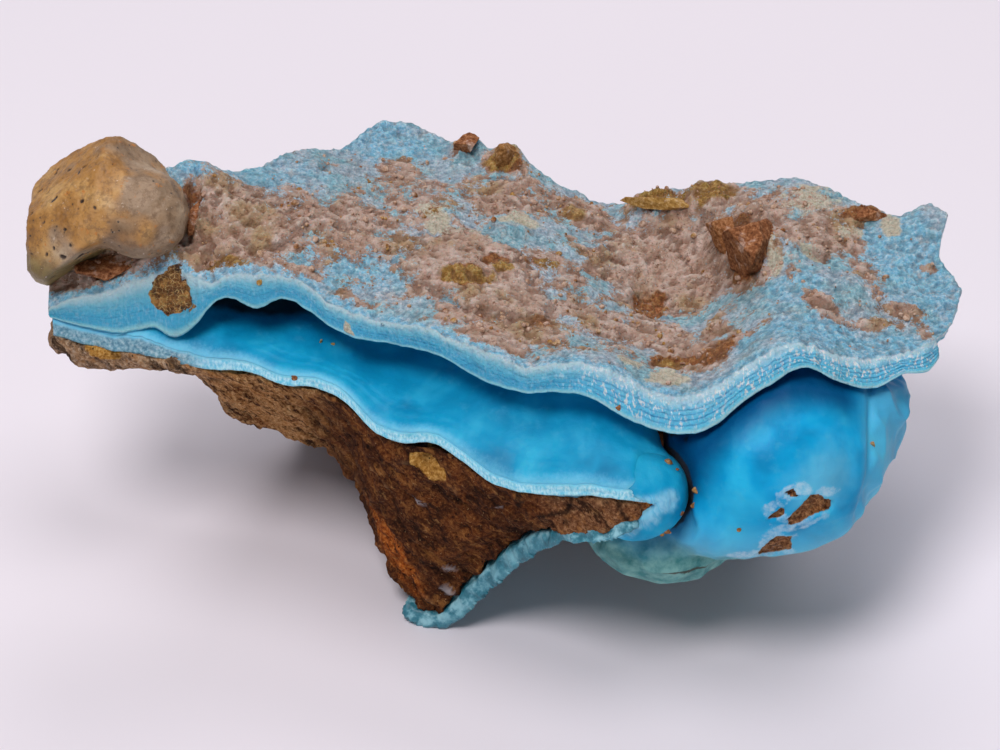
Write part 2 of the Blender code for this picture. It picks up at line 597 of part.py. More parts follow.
def main():
    for item in list(bpy.data.objects):
        bpy.data.objects.remove(item)
    top_height, roof_low = plate_heights()
    plate = build_plate(top_height, roof_low)
    tongue = tongue_height(roof_low)
    lower, crust_low = build_lower_crust(tongue)
    top, low, underside = wedge_grids(crust_low, roof_low)
    ledges = ((0.14, 0.3), (0.36, -0.35), (0.58, 0.45), (0.82, -0.3))
    wedge = slab("lower_matrix", top, low, ledges)
    wedge = join_solid(wedge, build_rear(roof_low))
    coat = build_under_crust(low)
    lobe = build_lobe(roof_low, underside)
    stone = build_stone(top_height)
    patches = [build_patch(name, outline, top_height) for name, outline in PATCHES.items()]
    paint(plate, (0.16, 0.52, 0.72), 0.45)
    paint(lower, (0.02, 0.42, 0.70), 0.25)
    paint(coat, (0.18, 0.55, 0.62), 0.4)
    paint(wedge, (0.20, 0.09, 0.05), 0.9)
    paint(lobe, (0.03, 0.42, 0.68), 0.25)
    paint(stone, (0.36, 0.24, 0.11), 0.6)
    for patch in patches:
        paint(patch, (0.32, 0.19, 0.13), 0.95)
    settle([plate, lower, coat, wedge, lobe, stone] + patches)


main()
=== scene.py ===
"""Finished look of the hemimorphite specimen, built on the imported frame.

Plans and heights are in millimetres, x across, y away and z up, before SHIFT.
Every crust is a fine grid with a broken wall, and rock is a remeshed solid pushed in and out by noise.
"""
import math

import bmesh
import bpy
import numpy as np
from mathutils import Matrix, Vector


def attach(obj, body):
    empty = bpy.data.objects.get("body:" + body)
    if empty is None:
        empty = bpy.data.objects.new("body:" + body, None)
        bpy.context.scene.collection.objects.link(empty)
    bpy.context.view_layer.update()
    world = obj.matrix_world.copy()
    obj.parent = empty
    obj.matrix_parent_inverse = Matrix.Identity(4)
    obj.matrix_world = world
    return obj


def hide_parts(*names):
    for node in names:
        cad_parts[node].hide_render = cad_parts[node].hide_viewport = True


MM = 0.001
SHIFT = np.array([0.3804, -1.5476, 1.6])    # from the tables' millimetres to the frame's
GAP = 0.30
CRUST = 2.0

ROOF_COLS, ROOF_ROWS = 433, 129
TONGUE_COLS, TONGUE_ROWS = 369, 89
UNDER_STEP = 4          # the underside has one cell for so many of the top's

# Roof sheet: broken front rim (upper and lower edge), back edge and both ends.
PLATE_FRONT_TOP = (
    (-46.7, -2.0, 29.4), (-43.7, -2.0, 30.8), (-40.2, -1.7, 31.7), (-35.9, -1.0, 33.1),
    (-32.3, -1.3, 33.9), (-29.5, -3.1, 33.7), (-26.5, -2.8, 34.5), (-23.0, -3.0, 34.2),
    (-19.9, -3.3, 34.0), (-17.2, -5.2, 32.9), (-12.0, -7.5, 32.5), (-5.7, -10.6, 33.0),
    (-0.3, -13.3, 32.5), (3.7, -14.9, 32.2), (8.6, -15.0, 33.0), (12.4, -15.7, 31.9),
    (18.3, -16.9, 30.2), (22.4, -16.0, 31.1), (25.6, -14.8, 32.7), (29.1, -13.7, 34.0),
    (32.9, -13.2, 33.0), (36.1, -12.7, 31.6), (39.6, -11.7, 30.8), (43.1, -10.3, 30.8),
    (45.0, -8.6, 30.6),
)
PLATE_FRONT_LOW = (
    (-46.5, -2.7, 28.4), (-41.6, -4.4, 28.2), (-38.9, -4.9, 28.1), (-35.6, -4.8, 28.7),
    (-33.2, -5.6, 28.1), (-30.9, -5.5, 29.9), (-29.0, -4.6, 32.0), (-27.2, -4.4, 32.3),
    (-24.7, -5.2, 31.6), (-21.8, -4.4, 32.3), (-18.8, -5.9, 31.4), (-15.9, -7.7, 30.5),
    (-10.0, -9.9, 30.6), (-4.7, -12.8, 31.1), (-1.0, -15.0, 30.4), (3.0, -16.9, 30.1),
    (5.7, -17.4, 30.7), (9.5, -18.0, 30.4), (12.8, -19.2, 28.9), (16.4, -20.1, 27.9),
    (18.5, -20.3, 27.6), (22.0, -19.7, 28.3), (24.4, -18.4, 29.9), (27.9, -16.9, 31.6),
    (31.0, -15.6, 32.4), (33.9, -15.7, 30.9), (38.4, -14.9, 29.1), (41.3, -13.3, 29.6),
    (44.0, -12.2, 29.1), (45.3, -10.2, 29.1),
)
PLATE_BACK_TOP = (
    (-43.8, 8.2, 33.6), (-40.0, 9.4, 34.4), (-37.0, 9.2, 36.2), (-34.2, 9.0, 39.4),
    (-31.2, 10.5, 39.5), (-28.3, 12.2, 36.8),
    (-24.6, 15.8, 35.1), (-20.8, 20.6, 33.6), (-17.1, 24.4, 30.9), (-13.5, 29.6, 30.5),
    (-9.8, 30.6, 29.8), (-6.3, 29.1, 28.9), (-1.5, 26.4, 29.0), (3.3, 24.6, 28.7),
    (6.7, 22.7, 27.5), (11.4, 22.0, 25.4), (14.2, 21.4, 25.4), (17.9, 21.6, 27.0),
    (21.7, 20.2, 28.6), (26.8, 19.4, 29.5), (30.5, 18.6, 30.9), (34.2, 16.6, 32.2),
    (38.2, 12.3, 32.6), (42.0, 9.8, 32.5), (46.2, 10.8, 33.4),
)
PLATE_LEFT = ((-46.7, -2.0), (-46.8, 1.0), (-45.8, 5.0), (-43.8, 8.2))
PLATE_RIGHT = (
    (45.0, -8.6), (46.9, -6.0), (48.4, -1.7), (47.6, 1.0), (46.5, 3.2), (46.9, 5.4),
    (47.9, 8.4), (46.2, 10.8),
)
# Relief inside the roof: left shelf, middle fall, the hollow, the ridge and the right apron.
PLATE_TOP_INNER = (
    (-43.0, 3.0, 32.0), (-39.0, 6.0, 33.6), (-36.6, 2.0, 34.2), (-34.0, 4.5, 36.4),
    (-31.0, 6.0, 37.6), (-27.0, 2.5, 35.8), (-21.0, 7.5, 35.4), (-15.0, -3.0, 32.6),
    (-10.0, 2.0, 32.2), (-10.5, 13.0, 31.8), (0.5, -3.0, 31.2), (0.5, 9.0, 30.6),
    (6.5, -10.0, 31.2), (11.0, 0.0, 28.6), (11.0, 9.5, 27.6), (13.0, -8.0, 29.4),
    (18.6, -14.0, 29.4), (16.5, 4.0, 25.2), (17.8, 9.0, 25.0), (21.5, 2.0, 26.4),
    (22.0, 10.0, 26.6), (18.0, 17.0, 26.6), (20.0, -9.3, 28.8), (25.0, -8.0, 30.8),
    (26.6, 3.0, 29.6), (26.7, 11.5, 30.9), (28.8, 4.0, 32.4), (31.2, -5.5, 33.0),
    (34.5, -5.5, 32.8), (38.3, 4.2, 31.8), (37.5, 9.0, 32.4), (42.0, -3.5, 31.3),
    (42.7, 6.0, 32.4), (39.2, -9.0, 30.7),
)
# Raised lumps on top of the roof: x, y, radius, rise.
ROOF_LUMPS = (
    (26.0, 9.5, 4.2, 1.6), (16.5, 18.5, 3.6, 0.9), (-6.0, 13.0, 4.0, 0.7), (-2.8, 26.6, 2.6, 1.0),
    (1.3, 25.0, 2.6, 1.2), (37.0, -3.5, 4.0, 0.5),
)
# Domes on the roof's underside: x, y, radius, drop.
ROOF_DOMES = (
    (-24.0, 2.0, 6.0, 1.2), (-12.5, -2.0, 7.0, 1.4), (1.0, -9.0, 7.5, 2.6), (8.5, -9.5, 6.5, 1.9),
    (18.0, -13.0, 6.5, 1.4), (-3.0, 6.0, 8.0, 1.2), (12.0, 2.0, 7.0, 1.0), (38.0, -7.0, 6.5, 1.4),
)

# Lower body: the broken front edge of the glossy crust, and the lower edge of the brown wedge.
LOWER_FRONT = (
    (-46.4, -3.6, 26.8), (-41.4, -5.2, 26.4), (-36.5, -6.2, 26.2), (-30.1, -7.7, 25.6),
    (-25.5, -8.8, 26.1), (-21.8, -10.4, 25.7), (-18.5, -11.2, 26.0), (-15.1, -13.1, 25.3),
    (-12.7, -15.2, 23.8), (-9.6, -16.8, 23.4), (-6.5, -17.4, 23.9), (-3.3, -19.5, 23.2),
    (-0.8, -21.5, 22.4), (3.8, -23.5, 22.5), (9.5, -24.5, 23.1), (13.4, -25.2, 23.1),
    (15.0, -24.9, 22.6), (16.4, -24.0, 22.0),
)
NOSE_EDGE = (
    (16.4, -24.0), (17.6, -23.2), (18.2, -21.6), (18.0, -19.6), (16.9, -17.4), (15.9, -12.0),
    (15.0, -7.0),
)
# Rounded end of the lower crust: centre, radii.
NOSE = ((14.2, -21.0, 20.6), (5.4, 5.6, 4.6))
# The core's pointed right end: its tip (x, z) and the direction out of its lower edge.
CORE_TIP = (15.9, 22.3)
CORE_EDGE = (0.603, -0.797)
NOSE_ROUNDING = 2.6     # of the sheet above it
# The broken face cut from the nose (normal, a point on it) and how far back its notch goes.
NOSE_FACE = ((-0.15, -0.97, 0.15), (14.0, -25.8, 19.5))
NOTCH_BACK = -23.9
CAVITY_BACK = ((-46.4, 1.2), (-38.0, 3.8), (-28.0, 5.6), (-15.0, 5.8), (0.0, 3.5), (15.0, -7.0))
NOSE_OUTLINE = (
    (8.0, -26.0), (16.2, -26.0), (17.8, -25.4), (19.0, -24.2), (19.6, -22.2), (18.9, -19.4), (17.2, -17.0),
    (16.0, -12.0), (15.2, -7.0), (8.0, -7.0),
)
TONGUE_INNER = (
    (-31.1, -4.6, 27.7), (-28.5, -1.8, 27.9), (-25.0, 0.1, 27.2), (-20.2, -1.0, 27.2),
    (-14.1, -3.2, 26.4), (-12.0, -6.5, 25.6), (-4.8, -9.7, 26.4), (0.4, -13.0, 26.8),
    (4.5, -16.0, 26.2), (8.0, -16.4, 26.8), (10.5, -15.4, 27.0), (13.1, -16.0, 26.4),
    (15.6, -17.0, 25.3), (-10.0, 2.0, 28.0), (0.0, -3.0, 28.4), (10.0, -8.0, 27.6),
    (-40.0, 0.0, 28.4), (-20.0, -7.0, 26.8), (-6.0, -14.0, 25.2), (4.0, -20.0, 24.6),
)
PATCHES = {
    "roof_matrix_left": (
        (-31.8, 5.8), (-30.8, 1.6), (-29.0, -0.6), (-25.4, -0.9), (-21.6, 0.4), (-19.6, 3.2),
        (-21.0, 6.0), (-24.6, 7.8), (-28.6, 8.2),
    ),
    "roof_matrix_middle": (
        (-11.0, 0.4), (-7.6, -3.2), (-3.2, -5.6), (1.2, -7.4), (5.2, -7.0), (7.0, -3.6),
        (4.6, 0.6), (3.4, 5.4), (-0.6, 9.4), (-5.4, 10.0), (-9.6, 6.0),
    ),
    "roof_matrix_right": (
        (10.6, 12.6), (10.6, 6.4), (13.0, 1.6), (17.4, -0.8), (21.4, 0.6), (22.8, 4.6),
        (21.6, 9.4), (20.8, 13.6), (18.0, 15.0), (13.8, 15.4),
    ),
}
# Corner stone: centre, and its flat sides (normal, distance from the centre).
STONE = (-41.0, 4.2, 36.2)
STONE_FACETS = (
    ((0.52, -0.62, -0.60), 2.9), ((-0.50, -0.42, 0.76), 6.1), ((0.30, -0.48, 0.82), 6.8),
    ((-1.0, -0.05, 0.05), 7.8), ((-0.62, 0.1, 0.78), 5.7), ((0.1, 0.2, 0.97), 7.8),
    ((0.62, 0.1, 0.78), 6.6), ((-0.5, -0.75, 0.42), 7.0), ((0.25, -0.86, 0.44), 6.6),
    ((0.95, -0.2, 0.2), 7.6), ((0.1, 1.0, 0.1), 7.0), ((-0.86, 0.1, -0.5), 8.4),
)

# Brown cellular inset in the rim: x, z, radii, turn.
INSET = (-33.6, 31.6, 2.1, 1.9, -12)
# What lies on the roof: x, y, radius across, radius deep, turn in degrees, strength.
SOIL = (
    (-41.5, 2.0, 5.2, 3.0, 10, 1.0), (-35.5, 2.2, 4.5, 2.8, 0, 1.0), (-27.0, 3.6, 6.6, 5.0, -20, 1.0),
    (-30.5, 0.2, 3.4, 2.4, 0, 1.0), (-33.8, -3.2, 2.2, 2.0, 0, 1.0), (-23.5, -2.8, 1.7, 1.5, 0, 0.9),
    (-14.5, 8.5, 4.4, 4.0, 30, 0.8), (-11.0, 20.0, 2.2, 5.0, -15, 0.75), (-17.8, 3.6, 2.4, 1.2, 0, 0.7),
    (-4.5, 1.0, 5.8, 5.2, 0, 1.0), (1.0, 3.6, 3.4, 2.8, 0, 0.95), (0.4, -7.6, 6.4, 4.6, -15, 1.0),
    (-14.5, -4.8, 3.0, 1.0, -20, 0.75), (-1.0, 16.0, 3.4, 3.2, 0, 0.8), (1.0, 23.4, 2.4, 2.0, 0, 1.0),
    (-3.4, 26.4, 1.6, 1.5, 0, 1.0), (8.3, -3.0, 3.2, 1.9, -20, 0.9), (18.0, 9.0, 8.8, 8.0, 0, 1.0),
    (9.5, 17.5, 3.4, 3.4, 0, 0.9), (17.0, 19.5, 3.2, 1.5, 0, 1.0), (23.5, 17.4, 3.2, 3.4, 0, 1.0),
    (26.6, 5.5, 2.6, 5.2, 8, 1.0), (27.4, 12.5, 2.1, 4.0, 0, 1.0), (34.0, 5.8, 5.4, 3.0, -8, 0.95),
    (38.4, 9.8, 2.6, 1.3, 0, 1.0), (38.8, 0.8, 1.8, 3.6, 15, 0.95), (33.2, -6.0, 1.4, 2.9, 25, 0.95),
    (38.4, -7.2, 3.0, 0.8, 5, 0.8), (42.2, -4.6, 2.2, 0.9, 0, 0.95), (43.9, -7.4, 0.8, 2.6, 12, 0.95),
    (-44.0, 0.4, 3.6, 2.2, 10, 1.0), (-38.0, -0.4, 4.0, 1.4, 0, 1.0), (-28.0, 8.0, 5.0, 3.0, 0, 0.7),
    (-24.0, -1.6, 3.0, 1.6, 0, 0.9), (-19.5, 6.5, 4.0, 5.0, 0, 0.75), (-20.0, -2.6, 2.4, 1.2, 0, 0.7),
    (-16.0, 5.0, 6.5, 6.0, 0, 0.75), (-8.0, 13.0, 5.0, 5.0, 0, 0.65), (3.0, 18.0, 6.0, 4.0, 0, 0.6),
    (5.0, 3.0, 5.0, 5.0, 0, 0.5), (14.0, -5.0, 7.0, 5.0, 0, 0.6), (-24.0, 8.5, 5.0, 3.6, 0, 0.5),
    (31.0, 10.0, 5.0, 5.0, 0, 0.7), (45.0, 1.7, 1.6, 0.6, 0, 0.95), (20.2, -9.8, 5.4, 2.7, 12, 1.0),
    (17.4, -5.4, 3.0, 3.8, 0, 0.85),
    (22.6, -5.4, 1.5, 3.2, 0, 0.85), (31.0, -0.6, 0.9, 1.8, 10, 0.7), (9.5, -11.8, 1.2, 0.8, 0, 0.6),
)
RUST = (
    (18.0, -10.3, 2.6, 1.3, 5, 1.0), (22.8, -10.4, 2.0, 2.2, 10, 0.9), (26.9, 5.2, 2.2, 4.4, 8, 1.0),
    (-3.2, -0.2, 2.6, 1.4, 10, 0.8), (0.0, 3.2, 1.8, 1.0, 0, 0.8), (-33.4, -3.6, 1.8, 1.5, 0, 0.8),
    (1.2, 23.4, 1.6, 1.6, 0, 0.9), (16.4, 3.0, 1.7, 3.0, 0, 0.95), (-3.4, 26.6, 1.6, 1.4, 0, 1.0),
    (38.6, 10.0, 2.4, 1.1, 0, 1.0), (-41.0, 0.3, 1.9, 1.1, 0, 1.0), (34.4, -8.9, 0.7, 0.7, 0, 1.0),
    (4.6, -6.4, 1.5, 1.3, 0, 0.6), (-32.6, 7.2, 1.6, 1.6, 0, 0.8), (4.2, 4.8, 1.2, 0.7, 0, 0.8),
)
CREAM = (
    (17.2, -13.9, 2.2, 1.8, 0, 1.0), (-6.6, 10.6, 1.8, 2.6, 0, 0.9), (-3.2, 7.6, 2.8, 1.6, -20, 0.9),
    (33.6, 12.6, 2.8, 3.2, 0, 0.9), (37.6, 7.1, 1.6, 1.0, 0, 1.0), (-15.0, -8.3, 0.8, 1.5, 0, 1.0),
    (2.4, 12.6, 2.6, 1.8, 0, 0.9), (42.0, 8.0, 1.2, 1.8, 0, 0.8), (13.6, -12.4, 1.4, 1.0, 0, 0.8),
    (28.8, 3.6, 0.8, 3.6, 12, 0.8), (33.0, 3.4, 1.6, 0.6, -30, 0.8),
)
HONEY = (
    (-3.0, -0.6, 3.4, 1.2, 6, 1.0), (0.9, 23.2, 1.8, 1.8, 0, 0.8), (-6.6, 11.2, 1.6, 1.2, 20, 0.7),
    (5.2, 4.8, 1.5, 0.7, 0, 0.9), (0.4, 2.2, 1.2, 0.7, 0, 0.9), (23.6, 17.8, 2.8, 1.8, 0, 0.8),
    (19.0, 18.8, 4.2, 1.6, -6, 0.9), (-27.5, -1.6, 2.4, 0.9, 0, 0.7), (-24.6, -3.6, 0.9, 0.9, 0, 0.9),
    (18.2, -10.4, 1.6, 0.8, 0, 0.9), (8.6, 17.0, 2.0, 1.6, 30, 0.6), (13.6, 0.8, 3.0, 1.0, 0, 0.5),
    (-39.5, 2.2, 2.0, 1.0, 0, 0.5),
)
CLEAN = (
    (-15.0, 0.2, 5.0, 3.2, 0, 0.8), (-34.0, -1.6, 3.0, 1.0, 0, 0.6), (33.0, -10.4, 7.5, 2.6, -4, 1.0),
    (43.0, 3.0, 4.6, 6.0, 0, 0.9), (41.5, -10.0, 4.0, 2.4, 0, 1.0), (46.0, -3.0, 2.6, 6.0, 0, 0.9),
    (-13.0, 27.0, 6.0, 4.0, 0, 0.9), (-32.5, 9.0, 3.0, 2.0, 0, 0.9), (-24.0, 13.0, 5.0, 4.0, 30, 0.6),
    (31.0, -3.0, 3.0, 3.0, 0, 0.8),
)
# Cracks in the brown core's face, in x and z, there and back.
MATRIX_CRACKS = (
    ((7.4, 23.0), (7.5, 21.8), (7.0, 20.6), (5.6, 19.6), (4.4, 18.8), (5.6, 19.6), (7.0, 20.6), (7.5, 21.8)),
    ((12.2, 23.0), (12.4, 22.0), (13.1, 21.2), (12.4, 22.0)),
    ((2.0, 22.4), (2.6, 20.8), (2.2, 19.4), (2.6, 20.8)),
)
# Grey-white bits in the brown rock, in x and z.
MATRIX_BITS = (
    (-8.0, 15.4, 0.9, 0.35, -25), (-4.9, 6.4, 0.9, 0.35, -35), (-5.4, 3.4, 0.9, 0.5, -20),
    (0.2, 18.0, 0.4, 0.2, -30),
)
# Raised and sunk forms finer than the solids': x, y, radii, turn, rise.
ROOF_FORMS = (
    (18.0, 18.2, 4.6, 1.8, -6, 0.5), (-3.4, 26.6, 2.6, 2.0, 0, 0.5), (1.1, 24.2, 2.6, 2.4, 0, 0.5),
    (27.2, 6.8, 2.6, 5.0, 8, 0.9), (16.2, 3.2, 2.0, 3.6, 0, -1.3), (33.4, 2.6, 2.0, 0.7, -32, -1.1),
    (39.4, 9.9, 2.4, 1.3, 0, 0.4), (-31.9, 4.4, 0.8, 4.2, -10, -1.5), (-35.0, 0.6, 4.0, 1.2, 0, 0.8),
    (-41.5, 1.4, 3.6, 1.4, 12, 1.2),
    (-31.6, 3.4, 1.6, 1.4, 0, 0.8), (-3.6, 0.6, 3.2, 1.8, 8, 0.9), (1.0, 10.4, 2.6, 1.6, 0, 0.8),
    (22.8, 17.6, 2.8, 3.0, 0, 1.0), (9.6, 18.0, 2.8, 2.6, 0, 0.6), (17.0, 20.0, 2.6, 1.2, 0, 0.7),
    (-18.4, 17.0, 1.0, 0.8, 0, -0.8), (-10.4, 28.6, 0.9, 0.9, 0, -0.7), (35.6, -6.8, 1.8, 1.5, 0, -0.6),
    (-33.8, -3.4, 1.9, 1.5, 0, -0.5), (18.4, -10.6, 2.6, 1.1, 6, -0.5), (2.6, 12.0, 0.8, 0.6, 0, -0.7),
)
# Rocks held in the roof's earth: x, y, height of the middle over the roof, radii, turn, tilt, warmth.
ROCKS = (
    (26.2, 5.0, 1.0, 3.0, 4.0, 3.2, 8, -24, 0.0), (24.5, 8.8, 0.5, 1.6, 2.6, 1.7, 25, 10, 0.25),
    (18.4, 17.2, 0.4, 4.2, 1.0, 0.8, -6, 4, 0.95),
    (-3.3, 25.6, 0.2, 1.4, 1.2, 1.4, 0, 0, 0.0), (0.9, 23.4, 0.0, 1.5, 1.2, 1.7, 30, 10, 0.45),
    (39.8, 9.4, -0.1, 1.9, 1.0, 0.8, -8, 0, 0.1), (17.2, 3.4, 0.1, 2.2, 1.1, 0.8, 10, 12, 0.1),
    (-40.6, 0.2, 0.4, 3.0, 1.2, 1.0, 12, 6, 0.1), (-31.2, 5.4, -0.1, 1.1, 2.8, 1.4, -10, 0, 0.0),
)
# Crumbs on the lower forms and the rim: x, y, z, size, warmth.
CRUMBS = (
    (17.7, -20.3, 24.4, 0.55, 0.4), (18.6, -20.8, 23.9, 0.35, 0.2), (19.9, -22.5, 21.9, 0.45, 0.5),
    (19.6, -23.4, 20.9, 0.55, 0.4), (19.2, -24.0, 20.0, 0.35, 0.2), (17.4, -25.2, 18.9, 0.50, 0.3),
    (16.8, -25.4, 18.4, 0.35, 0.6), (-18.3, -4.8, 26.7, 0.40, 0.8), (-17.0, -4.9, 26.6, 0.30, 0.9),
    (12.3, -18.6, 30.0, 0.50, 0.2), (-20.8, -10.0, 26.4, 0.45, 0.2), (38.2, -19.0, 25.2, 0.40, 0.6),
    (24.5, -25.0, 19.6, 0.35, 0.5), (-24.4, -3.9, 34.0, 0.45, 0.9), (6.0, -26.0, 17.6, 0.3, 0.2),
)
# Broken places on the lobe's front, outlines in x and z, and the white frost round them.
LOBE_BREAKS = (
    ((29.6, 25.0), (29.8, 24.6), (30.4, 24.0), (29.3, 24.1), (28.9, 24.6)),
    (
        (32.3, 24.1), (33.0, 23.3), (33.8, 22.9), (33.6, 21.8), (32.0, 21.7), (30.6, 20.9), (29.2, 20.3),
        (29.1, 21.4), (29.9, 22.7), (30.7, 23.6), (31.4, 24.1),
    ),
    ((28.5, 23.2), (28.9, 22.4), (28.5, 21.8), (27.4, 21.3), (26.9, 21.4), (27.8, 22.5)),
    ((28.2, 19.1), (29.7, 18.9), (29.8, 17.2), (28.5, 16.6), (26.5, 16.0), (26.1, 16.8), (27.3, 18.1)),
)
LOBE_FROST = (
    (28.8, 20.2, 1.7, 0.7, 15), (25.2, 16.4, 2.2, 0.7, 14), (30.4, 24.9, 1.1, 0.6, -20),
    (33.2, 24.0, 1.2, 0.5, -15), (31.4, 20.6, 1.8, 0.4, 25),
)
# Wall levels from the top edge (0) to the lower lip (1); a True level is a growth groove.
GROOVES = (0.42, 0.54, 0.67, 0.80)
ROOF_LEVELS = tuple((depth, depth in GROOVES) for depth in (
    0.04, 0.09, 0.15, 0.21, 0.26, 0.30, 0.34, 0.38, 0.42, 0.46, 0.50, 0.54, 0.58, 0.63, 0.67, 0.71, 0.76,
    0.80, 0.84, 0.89, 0.94, 0.98,
))
TONGUE_LEVELS = tuple((k / 10.0, k == 6) for k in range(1, 10))

BLUES = ((2, 128, 172), (14, 154, 198), (50, 182, 218))     # lower crust
BRIGHT_BLUES = ((0, 134, 186), (8, 162, 214), (46, 188, 230))   # right lobe
CRUMB_COUNT = 1100
FLOOR_SIDE = 3.0        # metres
# Studio lamps in metres and watts: place, size, power, colour.
LAMP_TARGET = (0.0, 0.0, 0.02)
LAMPS = {
    "key": ((-0.15, -0.21, 0.58), 0.24, 2.05, (1.0, 0.98, 1.0)),
    "overhead": ((0.05, 0.05, 0.60), 0.30, 0.98, (1.0, 0.98, 1.0)),
    "front": ((0.06, -0.52, 0.12), 0.30, 0.46, (0.97, 0.99, 1.0)),
    "behind": ((0.04, 0.42, 0.45), 0.30, 1.0, (1.0, 0.97, 1.0)),
}
WORLD_COLOUR, WORLD_STRENGTH = (216, 226, 240), 0.16
CAMERA_PLACE = np.array([0.4, -246.3, 225.0])   # millimetres, as the tables
CAMERA_TILT = 50.0                              # degrees up from looking straight down
LENS, SENSOR = 108.0, 36.0


def relief(points, smooth=0.02):
    """Thin-plate height field through control points."""
    table = np.array(points, float)
    spots = table[:, :2]
    count = len(table)
    lhs = np.zeros((count + 3, count + 3))
    lhs[:count, :count] = plate_kernel(spots[:, None] - spots[None]) + smooth * np.eye(count)
    lhs[:count, count] = 1.0
    lhs[:count, count + 1:] = spots
    lhs[count:, :count] = lhs[:count, count:].T
    weights = np.linalg.solve(lhs, np.append(table[:, 2], (0.0, 0.0, 0.0)))

    def height(x, y):
        where = np.stack([x, y], axis=-1)
        kernel = plate_kernel(where[..., None, :] - spots)
        flat = weights[count] + where @ weights[count + 1:]
        return kernel @ weights[:count] + flat

    return height


def plate_kernel(offset):
    square = (offset ** 2).sum(axis=-1)
    return square * np.log(np.maximum(square, 1e-9)) * 0.5


def domes(table, x, y):
    """Sum of rounded bosses."""
    total = np.zeros_like(x)
    for cx, cy, radius, rise in table:
        reach = ((x - cx) ** 2 + (y - cy) ** 2) / radius ** 2
        total += rise * np.clip(1.0 - reach, 0.0, None) ** 1.5
    return total


def soft_min(a, b, width):
    mix = np.clip(0.5 + 0.5 * (b - a) / width, 0.0, 1.0)
    return b + (a - b) * mix - width * mix * (1.0 - mix)


def along(points, fractions):
    """Points at fractions of a polyline's length."""
    table = np.array(points, float)
    steps = np.linalg.norm(np.diff(table, axis=0), axis=1)
    where = np.append(0.0, np.cumsum(steps)) / steps.sum()
    return np.stack([np.interp(fractions, where, table[:, k]) for k in range(table.shape[1])], axis=-1)


def span(front, back, left, right, rows):
    """Plan grid between four edges; front and back already hold one point per column."""
    cols = len(front)
    s = np.linspace(0.0, 1.0, cols)[:, None, None]
    t = np.linspace(0.0, 1.0, rows)[None, :, None]
    sides = (1.0 - s) * left[None] + s * right[None]
    ends = (1.0 - t) * front[:, None] + t * back[:, None]
    corners = (1.0 - s) * (1.0 - t) * front[0] + s * (1.0 - t) * front[-1]
    corners = corners + (1.0 - s) * t * back[0] + s * t * back[-1]
    return sides + ends - corners


def lift(plan, height):
    return np.dstack([plan[..., 0], plan[..., 1], height])


def egg(points, centre, radii):
    """Roughly signed distance inside an ellipsoid, millimetres."""
    scaled = (points - np.array(centre)) / np.array(radii)
    return (1.0 - np.linalg.norm(scaled, axis=-1)) * min(radii)


def merge(*fields, width=1.5):
    """Smooth union of inside fields."""
    total = fields[0]
    for field in fields[1:]:
        total = -soft_min(-total, -field, width)
    return total


def curve_by_x(table, x, column):
    """Smooth curve through a table's points."""
    points = np.array(table, float)
    at, value = points[:, 0], points[:, column]
    slope = np.gradient(value, at)
    k = np.clip(np.searchsorted(at, x) - 1, 0, len(at) - 2)
    run = at[k + 1] - at[k]
    t = np.clip((x - at[k]) / run, 0.0, 1.0)
    start = (1.0 + 2.0 * t) * (1.0 - t) ** 2 * value[k] + t * (1.0 - t) ** 2 * run * slope[k]
    end = t * t * (3.0 - 2.0 * t) * value[k + 1] + t * t * (t - 1.0) * run * slope[k + 1]
    return start + end


def ease(value, low, high):
    """0 below low, 1 above high and smooth between; low may be the larger."""
    t = np.clip((value - low) / (high - low), 0.0, 1.0)
    return t * t * (3.0 - 2.0 * t)


def noise(points, size, seed=1):
    """Smooth noise from about -1 to 1 with lumps of a size in millimetres."""
    rng = np.random.default_rng(seed)
    slopes = rng.normal(size=(256, 3))
    slopes /= np.linalg.norm(slopes, axis=1)[:, None]
    order = rng.permutation(256)
    where = np.asarray(points, float) / size
    cell = np.floor(where).astype(int)
    part = where - cell
    fade = part ** 3 * (part * (part * 6.0 - 15.0) + 10.0)
    total = np.zeros(where.shape[:-1])
    for corner in np.ndindex(2, 2, 2):
        key = order[(cell[..., 0] + corner[0]) & 255]
        key = order[(key + cell[..., 1] + corner[1]) & 255]
        key = order[(key + cell[..., 2] + corner[2]) & 255]
        weight = np.prod(np.where(np.array(corner) == 1, fade, 1.0 - fade), axis=-1)
        total += weight * ((part - corner) * slopes[key]).sum(axis=-1)
    return 1.6 * total


def rough(points, size, octaves, seed=1):
    """Noise with finer noise on it."""
    return sum(noise(points, size / 2 ** k, seed + k) / 2 ** k for k in range(octaves))


def ridged(points, size, octaves, seed=1):
    """Noise with sharp crests, 0 to about 1."""
    total = 0.0
    for k in range(octaves):
        total = total + (1.0 - 2.0 * np.abs(noise(points, size / 2 ** k, seed + k))) / 2 ** k
    return total / 2.0


def flat_points(x, y):
    return np.stack([x, y, np.zeros_like(x)], axis=-1)


def oval(x, y, spot):
    """Distance from a turned oval's centre, 1 on its edge."""
    turn = math.radians(spot[4])
    dx, dy = x - spot[0], y - spot[1]
    across = math.cos(turn) * dx + math.sin(turn) * dy
    deep = math.cos(turn) * dy - math.sin(turn) * dx
    return np.hypot(across / spot[2], deep / spot[3])


def stain(table, x, y, seed, ragged=0.4, outer=1.25, inner=0.8):
    """How much of a kind of dirt lies at each place, with ragged edges."""
    wander = ragged * rough(flat_points(x, y), 2.4, 4, seed)
    best = np.zeros_like(x)
    for spot in table:
        best = np.maximum(best, spot[5] * ease(oval(x, y, spot) + wander, outer, inner))
    return best


